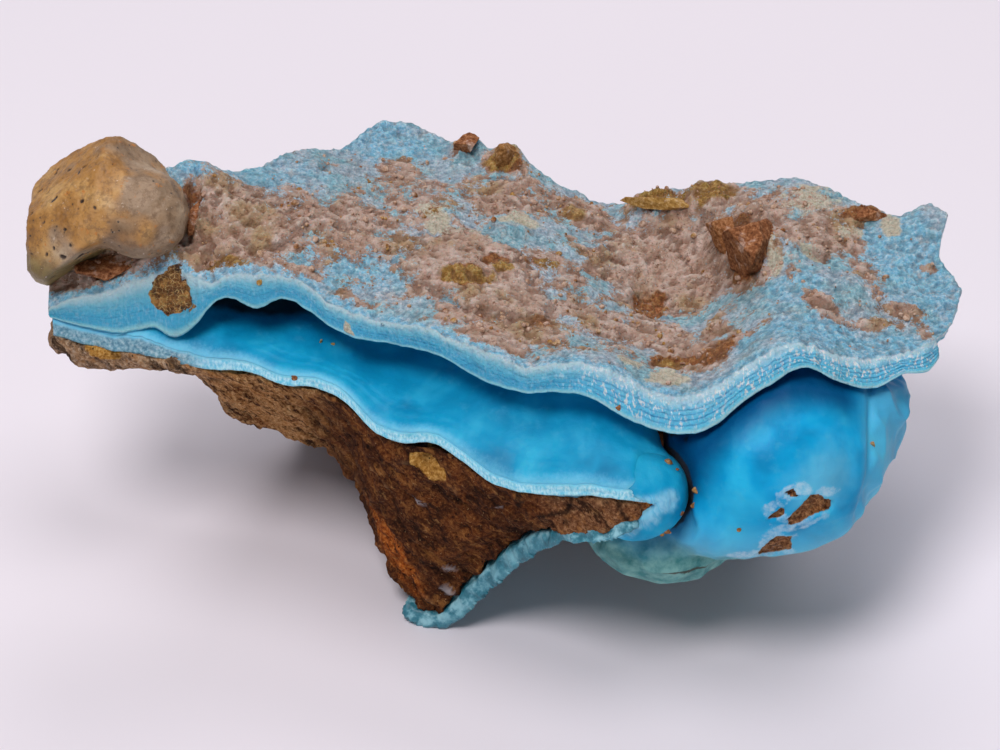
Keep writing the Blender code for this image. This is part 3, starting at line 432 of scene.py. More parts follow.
def forms(table, x, y):
    """Flat-topped lumps and pits."""
    total = np.zeros_like(x)
    wander = 0.2 * rough(flat_points(x, y), 1.8, 3, 71)
    for spot in table:
        total += spot[5] * ease(oval(x, y, spot) + wander, 1.25, 0.55)
    return total


def write_marks(mesh, marks):
    """Named values at a mesh's points, for the materials to read."""
    for key, values in marks.items():
        layer = mesh.attributes.new(key, "FLOAT", "POINT")
        layer.data.foreach_set("value", np.asarray(values, np.float32))


def mesh_object(name, points, faces, marks):
    """Object from millimetre points."""
    mesh = bpy.data.meshes.new(name)
    mesh.from_pydata((points + SHIFT) * MM, [], faces)
    write_marks(mesh, marks)
    mesh.shade_smooth()
    mesh.validate()
    body = bpy.data.objects.new(name, mesh)
    bpy.context.collection.objects.link(body)
    return body


def grid_faces(cols, rows):
    i, j = np.meshgrid(np.arange(cols - 1), np.arange(rows - 1), indexing="ij")
    a = (i * rows + j).ravel()
    return np.stack([a, a + rows, a + rows + 1, a + 1], axis=1)


def icosphere(subdivisions):
    """Points and faces of a unit ball."""
    work = bmesh.new()
    bmesh.ops.create_icosphere(work, subdivisions=subdivisions, radius=1.0)
    points = np.array([v.co for v in work.verts])
    faces = np.array([[v.index for v in f.verts] for f in work.faces])
    work.free()
    return points, faces


def ring_cells(cols, rows):
    """Grid indices once round the edge."""
    cells = [(i, 0) for i in range(cols - 1)] + [(cols - 1, j) for j in range(rows - 1)]
    cells += [(i, rows - 1) for i in range(cols - 1, 0, -1)] + [(0, j) for j in range(rows - 1, 0, -1)]
    return np.array(cells)


def wall_frame(upper, lower):
    """Run along the edge in millimetres and the direction out of the wall."""
    step = np.linalg.norm(np.roll(upper, -1, axis=0) - upper, axis=1)
    run = np.append(0.0, np.cumsum(step)[:-1])
    reach = 6
    along_edge = np.roll(upper, -reach, axis=0) - np.roll(upper, reach, axis=0)
    out = np.cross(lower - upper, along_edge)
    for _ in range(8):
        out = out + np.roll(out, 1, axis=0) + np.roll(out, -1, axis=0)
        out /= np.linalg.norm(out, axis=1)[:, None]
    return run, out


def underside_cell(a, b, a2, b2, cols, rows):
    """Corners of one coarse cell, with every fine point where a side lies on the edge."""
    def side(points, on_edge):
        return points if on_edge else [points[0], points[-1]]

    walk = side([(i, b) for i in range(a, a2 + 1)], b == 0)[:-1]
    walk += side([(a2, j) for j in range(b, b2 + 1)], a2 == cols - 1)[:-1]
    walk += side([(i, b2) for i in range(a2, a - 1, -1)], b2 == rows - 1)[:-1]
    walk += side([(a, j) for j in range(b2, b - 1, -1)], a == 0)[:-1]
    return walk[::-1]


def crust(name, top, low, levels, push, marks):
    """Closed sheet: fine top, broken wall and coarse underside.

    push(run, depth, point, groove) is how far a wall point stands out.
    marks(points, run, depth) gives the values that the material reads.
    """
    cols, rows = top.shape[:2]
    rim = ring_cells(cols, rows)
    upper, lower = top[rim[:, 0], rim[:, 1]], low[rim[:, 0], rim[:, 1]]
    run, out = wall_frame(upper, lower)
    loops = []
    for depth, groove in levels:
        loop = upper + (lower - upper) * depth
        far = push(run, depth, loop, groove) * math.sin(math.pi * depth) ** 0.4
        loops.append(loop + out * np.reshape(far, (-1, 1)))
    loops.append(upper + (lower - upper) * 1.0)
    size = len(rim)
    number = {}
    for k, cell in enumerate(map(tuple, rim)):
        number[cell] = cols * rows + (len(loops) - 1) * size + k
    base = cols * rows + len(loops) * size
    inner = []
    for i in range(UNDER_STEP, cols - 1, UNDER_STEP):
        for j in range(UNDER_STEP, rows - 1, UNDER_STEP):
            number[(i, j)] = base + len(inner)
            inner.append(low[i, j])
    faces = grid_faces(cols, rows).tolist()
    ids = [rim[:, 0] * rows + rim[:, 1]]
    ids += [cols * rows + k * size + np.arange(size) for k in range(len(loops))]
    for above, below in zip(ids[:-1], ids[1:]):
        faces += np.stack([above, below, np.roll(below, -1), np.roll(above, -1)], axis=1).tolist()
    for a in range(0, cols - 1, UNDER_STEP):
        for b in range(0, rows - 1, UNDER_STEP):
            a2, b2 = min(a + UNDER_STEP, cols - 1), min(b + UNDER_STEP, rows - 1)
            faces.append([number[cell] for cell in underside_cell(a, b, a2, b2, cols, rows)])
    points = np.concatenate([top.reshape(-1, 3)] + loops + [np.array(inner)])
    nearest = np.zeros(len(points))
    depths = np.ones(len(points))
    depths[:cols * rows] = 0.0
    for loop, (depth, _) in zip(ids[1:], tuple(levels) + ((1.0, False),)):
        depths[loop] = depth
    for loop in ids:
        nearest[loop] = run
    return mesh_object(name, points, faces, marks(points, nearest, depths))


def plate_heights():
    edge_back = [(x, y, z) for x, y, z in PLATE_BACK_TOP]
    ends = [(48.2, -1.7, 31.2), (46.6, 3.2, 32.2), (47.7, 8.4, 33.6), (-46.2, 3.0, 31.4)]
    top = relief(PLATE_FRONT_TOP + tuple(edge_back) + tuple(ends) + PLATE_TOP_INNER)
    low_points = list(PLATE_FRONT_LOW)
    low_points += [(x, y - 0.6, z - 2.8) for x, y, z in edge_back]
    low_points += [(x, y, z - 3.4) for x, y, z in PLATE_TOP_INNER if x > -33.0]
    low_points += [(-44.0, 3.0, 28.4), (-38.0, 5.0, 29.8), (-34.0, 3.0, 31.5), (-30.0, 5.0, 33.4)]
    low_points += [(47.4, -1.7, 28.6), (46.0, 3.2, 29.6), (47.0, 8.4, 31.0)]
    low = relief(low_points)

    def top_height(x, y):
        return top(x, y) + domes(ROOF_LUMPS, x, y)

    def low_height(x, y):
        return low(x, y) - domes(ROOF_DOMES, x, y)

    return top_height, low_height


def plate_plan(front, inset, cols, rows):
    share = np.linspace(0.0, 1.0, cols)
    rise = np.linspace(0.0, 1.0, rows)
    x = front[0][0] + share * (front[-1][0] - front[0][0])
    near = np.stack([x, curve_by_x(front, x, 1)], axis=-1)
    near[:, 1] += 0.22 * rough(flat_points(x, 0 * x), 1.5, 3, 5) * np.sin(np.pi * share) ** 0.3
    x = PLATE_BACK_TOP[0][0] + share * (PLATE_BACK_TOP[-1][0] - PLATE_BACK_TOP[0][0])
    far = np.stack([x, curve_by_x(PLATE_BACK_TOP, x, 1) - inset], axis=-1)
    far[:, 1] += 0.35 * rough(flat_points(x, 0 * x), 2.0, 3, 9) * np.sin(np.pi * share) ** 0.3
    left = along(PLATE_LEFT, rise) + (0.4 * inset, 0.0)
    right = along(PLATE_RIGHT, rise) - (inset, 0.0)
    left[0], left[-1], right[0], right[-1] = near[0], far[0], near[-1], far[-1]
    return span(near, far, left, right, rows)


def roof_dirt(x, y):
    """Soil, rust, cream and clean crust at each place of the roof."""
    spots = flat_points(x, y)
    grit = rough(spots, 3.4, 5, 23)
    clean = stain(CLEAN, x, y, 51, 0.5, 1.5, 0.6)
    amount = stain(SOIL, x, y, 21, 0.4, 1.6, 0.4)
    soil = ease(amount + 0.42 * grit + 0.22 - 0.35 * clean, 0.10, 1.10)
    rust = stain(RUST, x, y, 31, 0.5, 1.35, 0.6)
    cream = stain(CREAM, x, y, 41, 0.6, 1.4, 0.6)
    rim = rim_share(x, y)
    return soil * (1.0 - 0.6 * cream) * (1.0 - 0.75 * rim), rust, cream, np.maximum(clean, rim)


def rim_share(x, y):
    """1 on the narrow whitish border behind the broken front edge."""
    behind = y - curve_by_x(PLATE_FRONT_TOP, np.clip(x, -46.7, 45.0), 1)
    return ease(behind + 0.7 * rough(flat_points(x, y), 2.0, 3, 53), 1.5, 0.3)


def roof_grain(x, y, dirt):
    """Small relief of the roof: clods where there is soil, sugary crystals elsewhere."""
    spots = flat_points(x, y)
    soil, _, cream, _ = dirt
    clods = 0.50 * ridged(spots, 2.4, 4, 67) + 0.34 * rough(spots, 0.95, 3, 69)
    sugar = 0.26 * ridged(spots, 1.5, 3, 61) + 0.20 * rough(spots, 0.7, 2, 64)
    beads = 0.45 * np.clip(noise(spots, 1.8, 73), 0.0, 1.0) * rim_share(x, y)
    return soil * clods + (1.0 - soil) * sugar + 0.12 * cream + beads


def roof_surface(top_height, x, y, grain=None):
    """Height of the dressed roof with its forms, crust grain and soil."""
    broad = 0.42 * rough(flat_points(x, y), 4.8, 3, 63)
    if grain is None:
        grain = roof_grain(x, y, roof_dirt(x, y))
    return top_height(x, y) + forms(ROOF_FORMS, x, y) + broad + grain - 0.3


def honey_share(x, y):
    """How golden the earth is."""
    return stain(HONEY, x, y, 55, 0.5, 1.4, 0.5)


def build_roof(top_height, low_height):
    plan = plate_plan(PLATE_FRONT_TOP, 0.0, ROOF_COLS, ROOF_ROWS)
    top = lift(plan, roof_surface(top_height, plan[..., 0], plan[..., 1]))
    plan = plate_plan(PLATE_FRONT_LOW, 0.7, ROOF_COLS, ROOF_ROWS)
    low = lift(plan, low_height(plan[..., 0], plan[..., 1]))

    def push(run, depth, point, groove):
        strip = np.stack([run, 0 * run + 5.0 * depth, 0 * run], axis=-1)
        fibre = np.stack([run * 2.6, 0 * run + 1.2 * depth, 0 * run], axis=-1)
        lumps = 0.22 * rough(strip, 1.9, 3, 81) + 0.09 * noise(fibre, 1.0, 83)
        fade = ease(point[:, 0], 2.0, 13.0)
        inset = ease(oval(point[:, 0], point[:, 2], INSET) + 0.2 * rough(point, 1.2, 3, 85), 1.1, 0.8)
        cut_in = 0.01 + 0.06 * fade if groove else 0.0
        return 0.15 + lumps - cut_in - 0.5 * inset * (1.0 - rough(point, 0.9, 3, 87))

    def marks(points, run, depth):
        x, y, z = points.T
        dirt = roof_dirt(x, y)
        soil, rust, cream, clean = dirt
        front = np.clip(1.0 - depth * 6.0, 0.0, 1.0)
        gold = ease(oval(x, z, INSET) + 0.3 * rough(points, 1.4, 4, 91), 1.15, 0.95)
        gold *= (y < -0.6) & (depth < 0.9)
        spots = stain(((-15.2, -8.4, 0.7, 1.6, 20, 1.0),), x, y, 93, 0.5)
        soil = soil * front
        cream = np.maximum(cream * front, spots * (depth < 0.9))
        front = ease(depth, 0.1, 0.0)
        tone = ease(x, 4.0, 13.0)
        # dip is the top's relief height; the material paints shade in its hollows and highlight on its crests
        return {
            "soil": soil, "rust": rust * soil, "cream": cream, "clean": clean, "gold": gold, "run": run,
            "depth": depth, "tone": tone, "dip": roof_grain(x, y, dirt) * front,
            "honey": honey_share(x, y),
        }

    return crust("roof_crust", top, low, ROOF_LEVELS, push, marks)


def tongue_height(roof_low):
    edge = [(x, y + 0.9, z + 1.3) for x, y, z in LOWER_FRONT[:-2]]
    nose = [(19.2, -21.0, 24.0), (18.6, -24.0, 23.6), (16.4, -25.6, 23.6), (17.4, -18.0, 24.4)]
    field = relief(edge + nose + list(TONGUE_INNER))

    def height(x, y):
        closed = ease(x, -33.5, -37.0)
        under_roof = roof_low(x, y) - (GAP + 0.2) * (1.0 - closed) + 0.1 * closed
        return np.minimum(field(x, y) + 0.7 * closed, under_roof)

    return height


def tongue_plan(front, inset, cols, rows):
    x = np.linspace(-46.2, 16.4, cols)
    rise = np.linspace(0.0, 1.0, rows)
    far = np.stack([CAVITY_BACK[0][0] + (x - x[0]) / (x[-1] - x[0]) * 61.4, np.zeros_like(x)], axis=-1)
    far[:, 1] = curve_by_x(CAVITY_BACK, far[:, 0], 1)
    near = np.stack([x, curve_by_x(front, x, 1)], axis=-1)
    jag = 0.16 * rough(flat_points(x, 0 * x), 1.7, 3, 15) * ease(x, 15.0, 13.0)
    near[:, 1] += jag
    left = near[0] + rise[:, None] * (far[0] - near[0])
    right = along(NOSE_EDGE, rise) - (inset, 0.0)
    right[0], right[-1] = near[-1], far[-1]
    return span(near, far, left, right, rows)


def build_tongue(height):
    edge = [(a, b + 0.9, c) for a, b, c in LOWER_FRONT]
    plan = tongue_plan(edge, 0.0, TONGUE_COLS, TONGUE_ROWS)
    x, y = plan[..., 0], plan[..., 1]
    spots = flat_points(x, y)
    back = y - y[:, :1]
    z = height(x, y) + 0.22 * noise(spots, 7.0, 101) + 0.12 * noise(spots, 3.4, 102)
    z += 0.03 * rough(spots, 1.2, 2, 103)
    wander = rough(flat_points(x[:, :1], 0 * x[:, :1]), 5.0, 3, 105)
    shelf = ease(x, -27.0, -23.0) * ease(x, 10.0, 4.0)
    for distance, drop, wave in ((1.5, 0.12, 0.4), (2.6, 0.07, 0.6)):
        z -= drop * shelf * ease(back, distance + wave * wander + 0.16, distance + wave * wander - 0.08)
    z -= 0.45 * np.exp(-back / 0.45)
    inside = outline_distance(NOSE_OUTLINE, x, y)
    short = np.clip(NOSE_ROUNDING - inside, 0.0, NOSE_ROUNDING)
    arc = np.sqrt(np.clip(NOSE_ROUNDING ** 2 - short ** 2, 0.0, None))
    z -= ease(x, 12.5, 15.0) * (NOSE_ROUNDING - arc)
    z -= 1.2 * ease(x, 13.6, 16.0) * ease(y, -18.5, -21.0)
    top = lift(plan, z)
    plan = tongue_plan(LOWER_FRONT, 0.5, TONGUE_COLS, TONGUE_ROWS)
    low = lift(plan, height(plan[..., 0], plan[..., 1]) - CRUST)
    low[:, 0, 2] = curve_by_x(LOWER_FRONT, low[:, 0, 0], 2)
    low[..., 2] = np.maximum(low[..., 2], low[:, :1, 2])

    def push(run, depth, point, groove):
        strip = np.stack([run, 0 * run + 3.0 * depth, 0 * run], axis=-1)
        return 0.12 + 0.12 * rough(strip, 1.5, 3, 111) - (0.08 if groove else 0.0)

    def marks(points, run, depth):
        edge_y = curve_by_x(LOWER_FRONT, np.clip(points[:, 0], -46.2, 16.0), 1) + 0.9
        behind = points[:, 1] - edge_y
        pale = np.exp(-np.clip(behind, 0.0, None) / 1.0)
        # deep: painted shade, near black at the back of the cavity under the roof, left of x -12 to -17
        deep = ease(points[:, 1] + 0.4 * rough(points, 2.0, 3, 117), -1.6, 0.2)
        deep = deep * ease(points[:, 0], -12.0, -17.0)
        worn = ease(points[:, 0], -29.0, -33.0)
        return {"depth": depth, "run": run, "pale": pale, "worn": worn, "deep": deep}

    return crust("lower_crust_skin", top, low, TONGUE_LEVELS, push, marks)


def plane_depth(points, normal, spot):
    """Distance behind a cutting plane."""
    unit = np.array(normal) / np.linalg.norm(normal)
    return (np.array(spot) - points) @ unit


def below_core(points):
    """Distance past the core's lower edge, to the right and down."""
    return (points[:, 0] - CORE_TIP[0]) * CORE_EDGE[0] + (points[:, 2] - CORE_TIP[1]) * CORE_EDGE[1]


def above_core(points):
    """Height over the core's upper edge."""
    return points[:, 2] - CORE_TIP[1] + 0.32 * (points[:, 0] - CORE_TIP[0])


def radial_points(centre, inside, reach, subdivisions):
    """The last point inside along each ray from a centre, with the rays and the faces."""
    rays, faces = icosphere(subdivisions)
    rays /= np.linalg.norm(rays, axis=1)[:, None]
    low, high = np.zeros(len(rays)), np.full(len(rays), reach)
    for _ in range(18):
        middle = (low + high) / 2.0
        hit = inside(np.array(centre) + rays * middle[:, None]) > 0.0
        low, high = np.where(hit, middle, low), np.where(hit, high, middle)
    return np.array(centre) + rays * low[:, None], rays, faces.tolist()


def build_nose(height):
    """Rounded end of the lower crust, with the broken fibrous face beside the rock core."""
    centre, radii = NOSE

    def inside(points):
        field = egg(points, centre, radii)
        field = soft_min(field, height(points[:, 0], points[:, 1]) + 0.06 - points[:, 2], 1.2)
        field = soft_min(field, plane_depth(points, *NOSE_FACE), 1.2)
        notch = merge(below_core(points), points[:, 1] - NOTCH_BACK, above_core(points), width=0.3)
        return soft_min(field, notch, 0.5)

    points, rays, faces = radial_points(centre, inside, 9.0, 6)
    x, y, z = points.T
    ragged = below_core(points) + 0.7 * rough(points, 1.6, 4, 199)
    broken = ease(ragged, 2.3, 0.7) * ease(y, -22.8, -24.0) * ease(z, 24.0, 23.0)
    swell = 0.18 * noise(points, 4.0, 191) + 0.04 * rough(points, 1.2, 2, 193)
    points = points + rays * (swell + broken * 0.16 * rough(points, 0.9, 3, 197) - 0.10)[:, None]
    pale = np.maximum(0.70 * broken, 0.18 * ease(z, 22.0, 18.5))
    run = 0.9 * x + 0.35 * z + 0.35 * rough(points, 0.9, 2, 195)
    marks = dict.fromkeys(("worn", "deep"), np.zeros(len(points)))
    marks |= {"depth": 0.20 * broken, "run": run, "pale": pale}
    return mesh_object("lower_crust_nose", points, faces, marks)


def build_core_tip():
    """Pointed right end of the brown core, between the lower crust's sheet and its rounded end."""
    def inside(points):
        field = egg(points, (13.2, -23.0, 21.7), (4.8, 2.0, 2.5))
        field = soft_min(field, 0.15 - below_core(points), 0.15)
        return soft_min(field, 0.1 - above_core(points), 0.15)

    points, rays, faces = radial_points((13.2, -23.2, 21.4), inside, 6.0, 5)
    grain = rough(points, 1.1, 4, 203)
    points = points + rays * (0.14 * grain)[:, None]
    marks = dict.fromkeys(("light", "ochre", "ash", "crack", "bits"), np.zeros(len(points)))
    marks |= dict.fromkeys(("rust", "core"), np.ones(len(points)))
    # dip is the relief height; the rock material paints shade in its hollows and highlight on its crests
    marks |= {"dip": 0.5 * grain, "orange": 0.6 * ease(points[:, 0], 14.0, 15.5)}
    return mesh_object("matrix_core_tip", points, faces, marks)


def solid_copy(node, name, voxel, smoothing):
    """Fine mesh of a frame solid, with its facets smoothed away."""
    body = bpy.data.objects.new(name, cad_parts[node].data.copy())
    bpy.context.collection.objects.link(body)
    fine = body.modifiers.new("fine", "REMESH")
    fine.mode = "VOXEL"
    fine.voxel_size = voxel * MM
    even = body.modifiers.new("even", "SMOOTH")
    even.factor = 0.5
    even.iterations = smoothing
    depsgraph = bpy.context.evaluated_depsgraph_get()
    mesh = bpy.data.meshes.new_from_object(body.evaluated_get(depsgraph))
    body.modifiers.clear()
    body.data = mesh
    mesh.materials.clear()
    mesh.shade_smooth()
    return body


def spots_and_normals(body):
    """Points in table millimetres, and their normals."""
    mesh = body.data
    points, normals = np.zeros((2, len(mesh.vertices) * 3), np.float32)
    mesh.vertices.foreach_get("co", points)
    mesh.vertices.foreach_get("normal", normals)
    return points.reshape(-1, 3).astype(float) / MM - SHIFT, normals.reshape(-1, 3).astype(float)


def reshape(body, points, marks):
    """Moves a mesh's points and writes its named values; nothing goes below the floor."""
    mesh = body.data
    places = (points + SHIFT) * MM
    places[:, 2] = np.maximum(places[:, 2], 0.0)
    mesh.vertices.foreach_set("co", places.astype(np.float32).ravel())
    write_marks(mesh, marks)
    mesh.update()


def build_matrix():
    body = solid_copy("lower_matrix", "matrix_rock", 0.335, 2)
    points, normals = spots_and_normals(body)
    x, y, z = points.T
    layers = points @ np.array([0.45, -0.30, 0.84]) + 1.4 * noise(points, 6.0, 121)
    strata = (np.abs((layers / 2.1) % 1.0 - 0.5) * 4.0 - 1.0) * ease(noise(points, 5.0, 122), -0.5, 0.3)
    chips = np.round(2.5 * rough(points, 3.0, 2, 124)) / 2.5
    bedding = np.stack([(0.74 * x - 0.67 * z) / 2.8, y, 0.67 * x + 0.74 * z], axis=-1)
    lumps = 0.24 * strata + 0.40 * chips
    lumps = lumps + 0.50 * ridged(points, 4.6, 4, 123) + 0.26 * rough(points, 1.4, 4, 129)
    lumps += 0.60 * ridged(bedding, 1.9, 3, 125)
    lumps -= lumps.mean()
    calm = ease(x, 2.0, 7.0) * 0.55 + ease(x, -26.0, -32.0) * 0.3
    lift_out = 0.60 * ease(x, -28.0, -33.0) * ease(y, 8.0, 2.0)
    points = points + normals * (lumps * (1.0 - calm) - 0.10 + lift_out)[:, None]
    rust = ease(rough(points, 3.5, 3, 133), -0.2, 0.6)
    drift = 2.4 * noise(points, 5.0, 147) + 1.0 * rough(points, 1.8, 3, 148)
    light = ease(x + drift, -14.0, -24.0) * ease(y + 1.5 * drift, 8.0, -1.0)
    ochre = ease(oval(x, z, (-6.9, 20.9, 2.2, 1.1, -32)) + 0.12 * rough(points, 1.2, 3, 137), 1.1, 0.85)
    ochre = np.maximum(ochre, 0.8 * ease(oval(x, z, (-41.0, 26.0, 2.2, 0.8, -12)), 1.2, 0.7))
    ash = ease(x + drift, -28.0, -34.0) * ease(y + 2.0 * drift, 12.0, 0.0)
    ragged = 0.3 * rough(points, 1.4, 3, 145)
    orange = ease(oval(x, z, (-10.8, 6.4, 1.5, 4.4, 29)) + ragged, 1.5, 0.6)
    bits = ease(np.min([oval(x, z, spot) for spot in MATRIX_BITS], axis=0) + ragged, 1.15, 0.75) * (y < -8.0)
    crack = np.max([outline_distance(line, x, z) for line in MATRIX_CRACKS], axis=0)
    crack = ease(crack + 0.08 * noise(points, 0.8, 139), -0.34, -0.12) * (y < -18.0)
    core = ease(x + 0.6 * drift, 3.0, 7.0) * ease(y + 1.5 * drift, -2.0, -12.0)
    # dip is the relief height; the rock material paints shade in its hollows and highlight on its crests
    marks = {"rust": rust, "light": light, "ochre": ochre * (y < 0.0), "core": core, "dip": lumps}
    reshape(body, points, marks | {"ash": ash, "crack": crack, "orange": orange, "bits": bits})
    return body


def build_coat():
    body = solid_copy("under_crust", "under_crust_skin", 0.235, 3)
    points, normals = spots_and_normals(body)
    knobs = np.abs(noise(points, 2.4, 141)) * 0.5 + np.abs(noise(points, 1.3, 142)) * 0.22
    swell = 0.18 - knobs + 0.05 * rough(points, 0.9, 2, 143)
    proud = 0.40 * ease(-normals[:, 1], 0.1, 0.7) * ease(points[:, 0], 5.0, 3.0)
    points = points + normals * (swell + proud)[:, None]
    tuck = ease(points[:, 0], 5.4, 7.2)
    points = points + tuck[:, None] * np.array([0.0, 0.7, 0.9])
    reshape(body, points, {"grain": swell, "edge": ease(normals[:, 2], 0.0, 0.5)})
    return body


def build_lobe():
    body = solid_copy("right_lobe", "right_lobe_skin", 0.26, 22)
    points, normals = spots_and_normals(body)
    x, y, z = points.T
    swell = 0.34 * noise(points, 6.5, 151) + 0.14 * noise(points, 2.8, 153)
    swell = swell + 0.03 * rough(points, 0.9, 2, 155)
    bend = 0.6 * noise(flat_points(0 * z, z), 7.0, 157) + 0.16 * (z - 20.0)
    side = ease(y, -8.0, -13.0) * ease(z, 15.0, 19.0)
    away = (x - 36.7 - bend) / 0.45
    swell += (0.22 * np.exp(-(away / 2.0 + 1.4) ** 2) - 0.42 * np.exp(-away ** 2)) * side
    knobs = np.abs(noise(points, 4.4, 156)) + 0.12 * np.abs(noise(points, 2.0, 154))
    swell += (0.40 - 1.2 * knobs) * ease(away, -0.4, 2.2)
    swell += (0.25 - 0.9 * np.abs(noise(points, 3.2, 152))) * ease(z, 17.0, 14.5)
    front = ease(y, -14.0, -18.0)
    wander = 0.55 * rough(points, 2.2, 4, 159)
    reach = np.max([outline_distance(outline, x, z) for outline in LOBE_BREAKS], axis=0) + 0.25 * wander
    broken = front * ease(reach, -0.06, 0.12)
    veil = np.min([oval(x, z, spot) for spot in LOBE_FROST], axis=0) + 0.8 * wander
    frost = front * np.maximum(0.75 * ease(reach + 2.4 * wander, -1.0, 0.1), 0.75 * ease(veil, 1.5, 0.5))
    swell += broken * (-0.45 + 0.35 * rough(points, 1.0, 3, 158))
    swell += 0.85 * front * ease(z, 20.0, 16.5) * ease(z, 12.5, 15.0) * ease(x, 23.0, 27.0)
    # deep: painted shade, a darker blue where the lobe lies under the roof's front edge, fading out past x 35
    # to 38
    deep = ease(y - curve_by_x(PLATE_FRONT_LOW, np.clip(x, -46.0, 45.0), 1), -5.0, -0.8) * ease(x, 38.0, 35.0)
    # light: paler crust towards the bottom and on the right bulge; the oval on the crest is a painted
    # highlight
    light = np.maximum(0.8 * ease(z, 21.5, 16.0), 0.6 * ease(x, 35.5, 38.5)) * ease(z, 12.5, 15.0)
    light = np.maximum(light, 0.8 * ease(oval(x, z, (32.4, 24.8, 3.4, 2.8, 20)) + 0.4 * wander, 1.5, 0.2))
    points = points + normals * (swell - 0.05)[:, None]
    teal = ease(z + 0.6 * rough(points, 3.0, 2, 150), 17.0, 13.5)
    dirt = 0.9 * ease(oval(x, z, (20.0, 12.2, 3.2, 0.22, -4)) + 0.5 * wander, 1.3, 0.6) * front
    dirt = np.maximum(dirt, 1.4 * ease(oval(x, z, (17.4, 26.4, 1.9, 1.6, 0)) + 0.6 * wander, 1.5, 0.6))
    # painted shade: a dark line on the lobe along its seam with the nose
    nose_seam_shade = ease(egg(points, *NOSE) + 0.25 * wander, -0.75, -0.20) * ease(z, 25.5, 24.0)
    dirt = np.maximum(dirt, 0.95 * nose_seam_shade)
    marks = {"teal": teal, "broken": broken, "frost": frost, "dirt": dirt, "deep": deep, "light": light}
    reshape(body, points, marks)
    return body


def stone_inside(points):
    field = egg(points, STONE, (9.8, 9.8, 9.8))
    for normal, depth in STONE_FACETS:
        unit = np.array(normal) / np.linalg.norm(normal)
        field = soft_min(field, depth - (points - np.array(STONE)) @ unit, 0.35)
    return merge(field, egg(points, (-36.6, 2.4, 38.1), (5.0, 4.9, 4.4)), width=1.6)


def build_stone(top_height):
    def inside(points):
        seat = points[:, 2] - top_height(points[:, 0], points[:, 1]) + 0.4
        return np.minimum(stone_inside(points), seat)

    spots, rays, faces = radial_points(STONE, inside, 14.0, 7)
    rng = np.random.default_rng(165)
    sides = rng.normal(size=(34, 3)) * np.array((1.0, 1.0, 0.8))
    for side in sides / np.linalg.norm(sides, axis=1)[:, None]:
        reach = spots @ side
        over = np.clip(reach - reach.max() + rng.uniform(0.08, 0.35), 0.0, None)
        spots = spots - over[:, None] * side
    x, _, z = spots.T
    swell = 0.14 * noise(spots, 3.6, 161) + 0.16 * ridged(spots, 2.4, 4, 162)
    swell = swell + 0.08 * rough(spots, 1.1, 3, 163)
    pits = -0.35 * ease(noise(spots, 0.9, 167), 0.45, 0.8) * ease(x, -38.0, -42.0)
    swell = np.minimum(swell + pits, 0.30) - 0.08
    spots = spots + rays * swell[:, None]
    ochre = ease(rough(spots, 5.0, 3, 171) + 0.10 * (z - 36.0) - 0.12 * (x + 41.0), -0.2, 0.6)
    olive = ease(z, 36.6, 34.0) * ease(x, -39.0, -42.0)
    return mesh_object("chert_stone", spots, faces, {"ochre": ochre, "olive": olive, "pit": -pits})


def turned(points, turn, tilt):
    """Points turned about z and then tilted about their own x."""
    a, b = math.radians(turn), math.radians(tilt)
    tilting = np.array([[1.0, 0.0, 0.0], [0.0, math.cos(b), -math.sin(b)], [0.0, math.sin(b), math.cos(b)]])
    turning = np.array([[math.cos(a), -math.sin(a), 0.0], [math.sin(a), math.cos(a), 0.0], [0.0, 0.0, 1.0]])
    return points @ (turning @ tilting).T


def chipped(rng, subdivisions, cuts, depth):
    """Unit stone with flat chips, and its faces."""
    points, faces = icosphere(subdivisions)
    sides = rng.normal(size=(cuts, 3))
    sides /= np.linalg.norm(sides, axis=1)[:, None]
    for side in sides:
        over = np.clip(points @ side - rng.uniform(depth, 0.95), 0.0, None)
        points = points - over[:, None] * side
    return points, faces


def joined(name, stones):
    """One object from many (points, faces, marks)."""
    start, points, faces, marks = 0, [], [], {}
    for spots, cells, values in stones:
        points.append(spots)
        faces.append(cells + start)
        start += len(spots)
        for key, value in values.items():
            marks.setdefault(key, []).append(np.broadcast_to(value, len(spots)))
    marks = {key: np.concatenate(value) for key, value in marks.items()}
    return mesh_object(name, np.concatenate(points), np.concatenate(faces).tolist(), marks)


def build_rocks(top_height):
    """Larger rocks half sunk in the roof's earth."""
    rng = np.random.default_rng(301)
    stones = []
    for x, y, over, across, deep, tall, turn, tilt, warmth in ROCKS:
        points, faces = chipped(rng, 5, 16, 0.42)
        points = points * np.array([across, deep, tall]) * 1.2
        points = points * (1.0 + 0.10 * rough(points + 50.0 * x, 1.4, 4, 303))[:, None]
        ground = roof_surface(top_height, np.array([x]), np.array([y]))[0]
        points = turned(points, turn, tilt) + np.array([x, y, ground + over])
        stones.append((points, faces, {"warmth": warmth}))
    return joined("roof_rocks", stones)


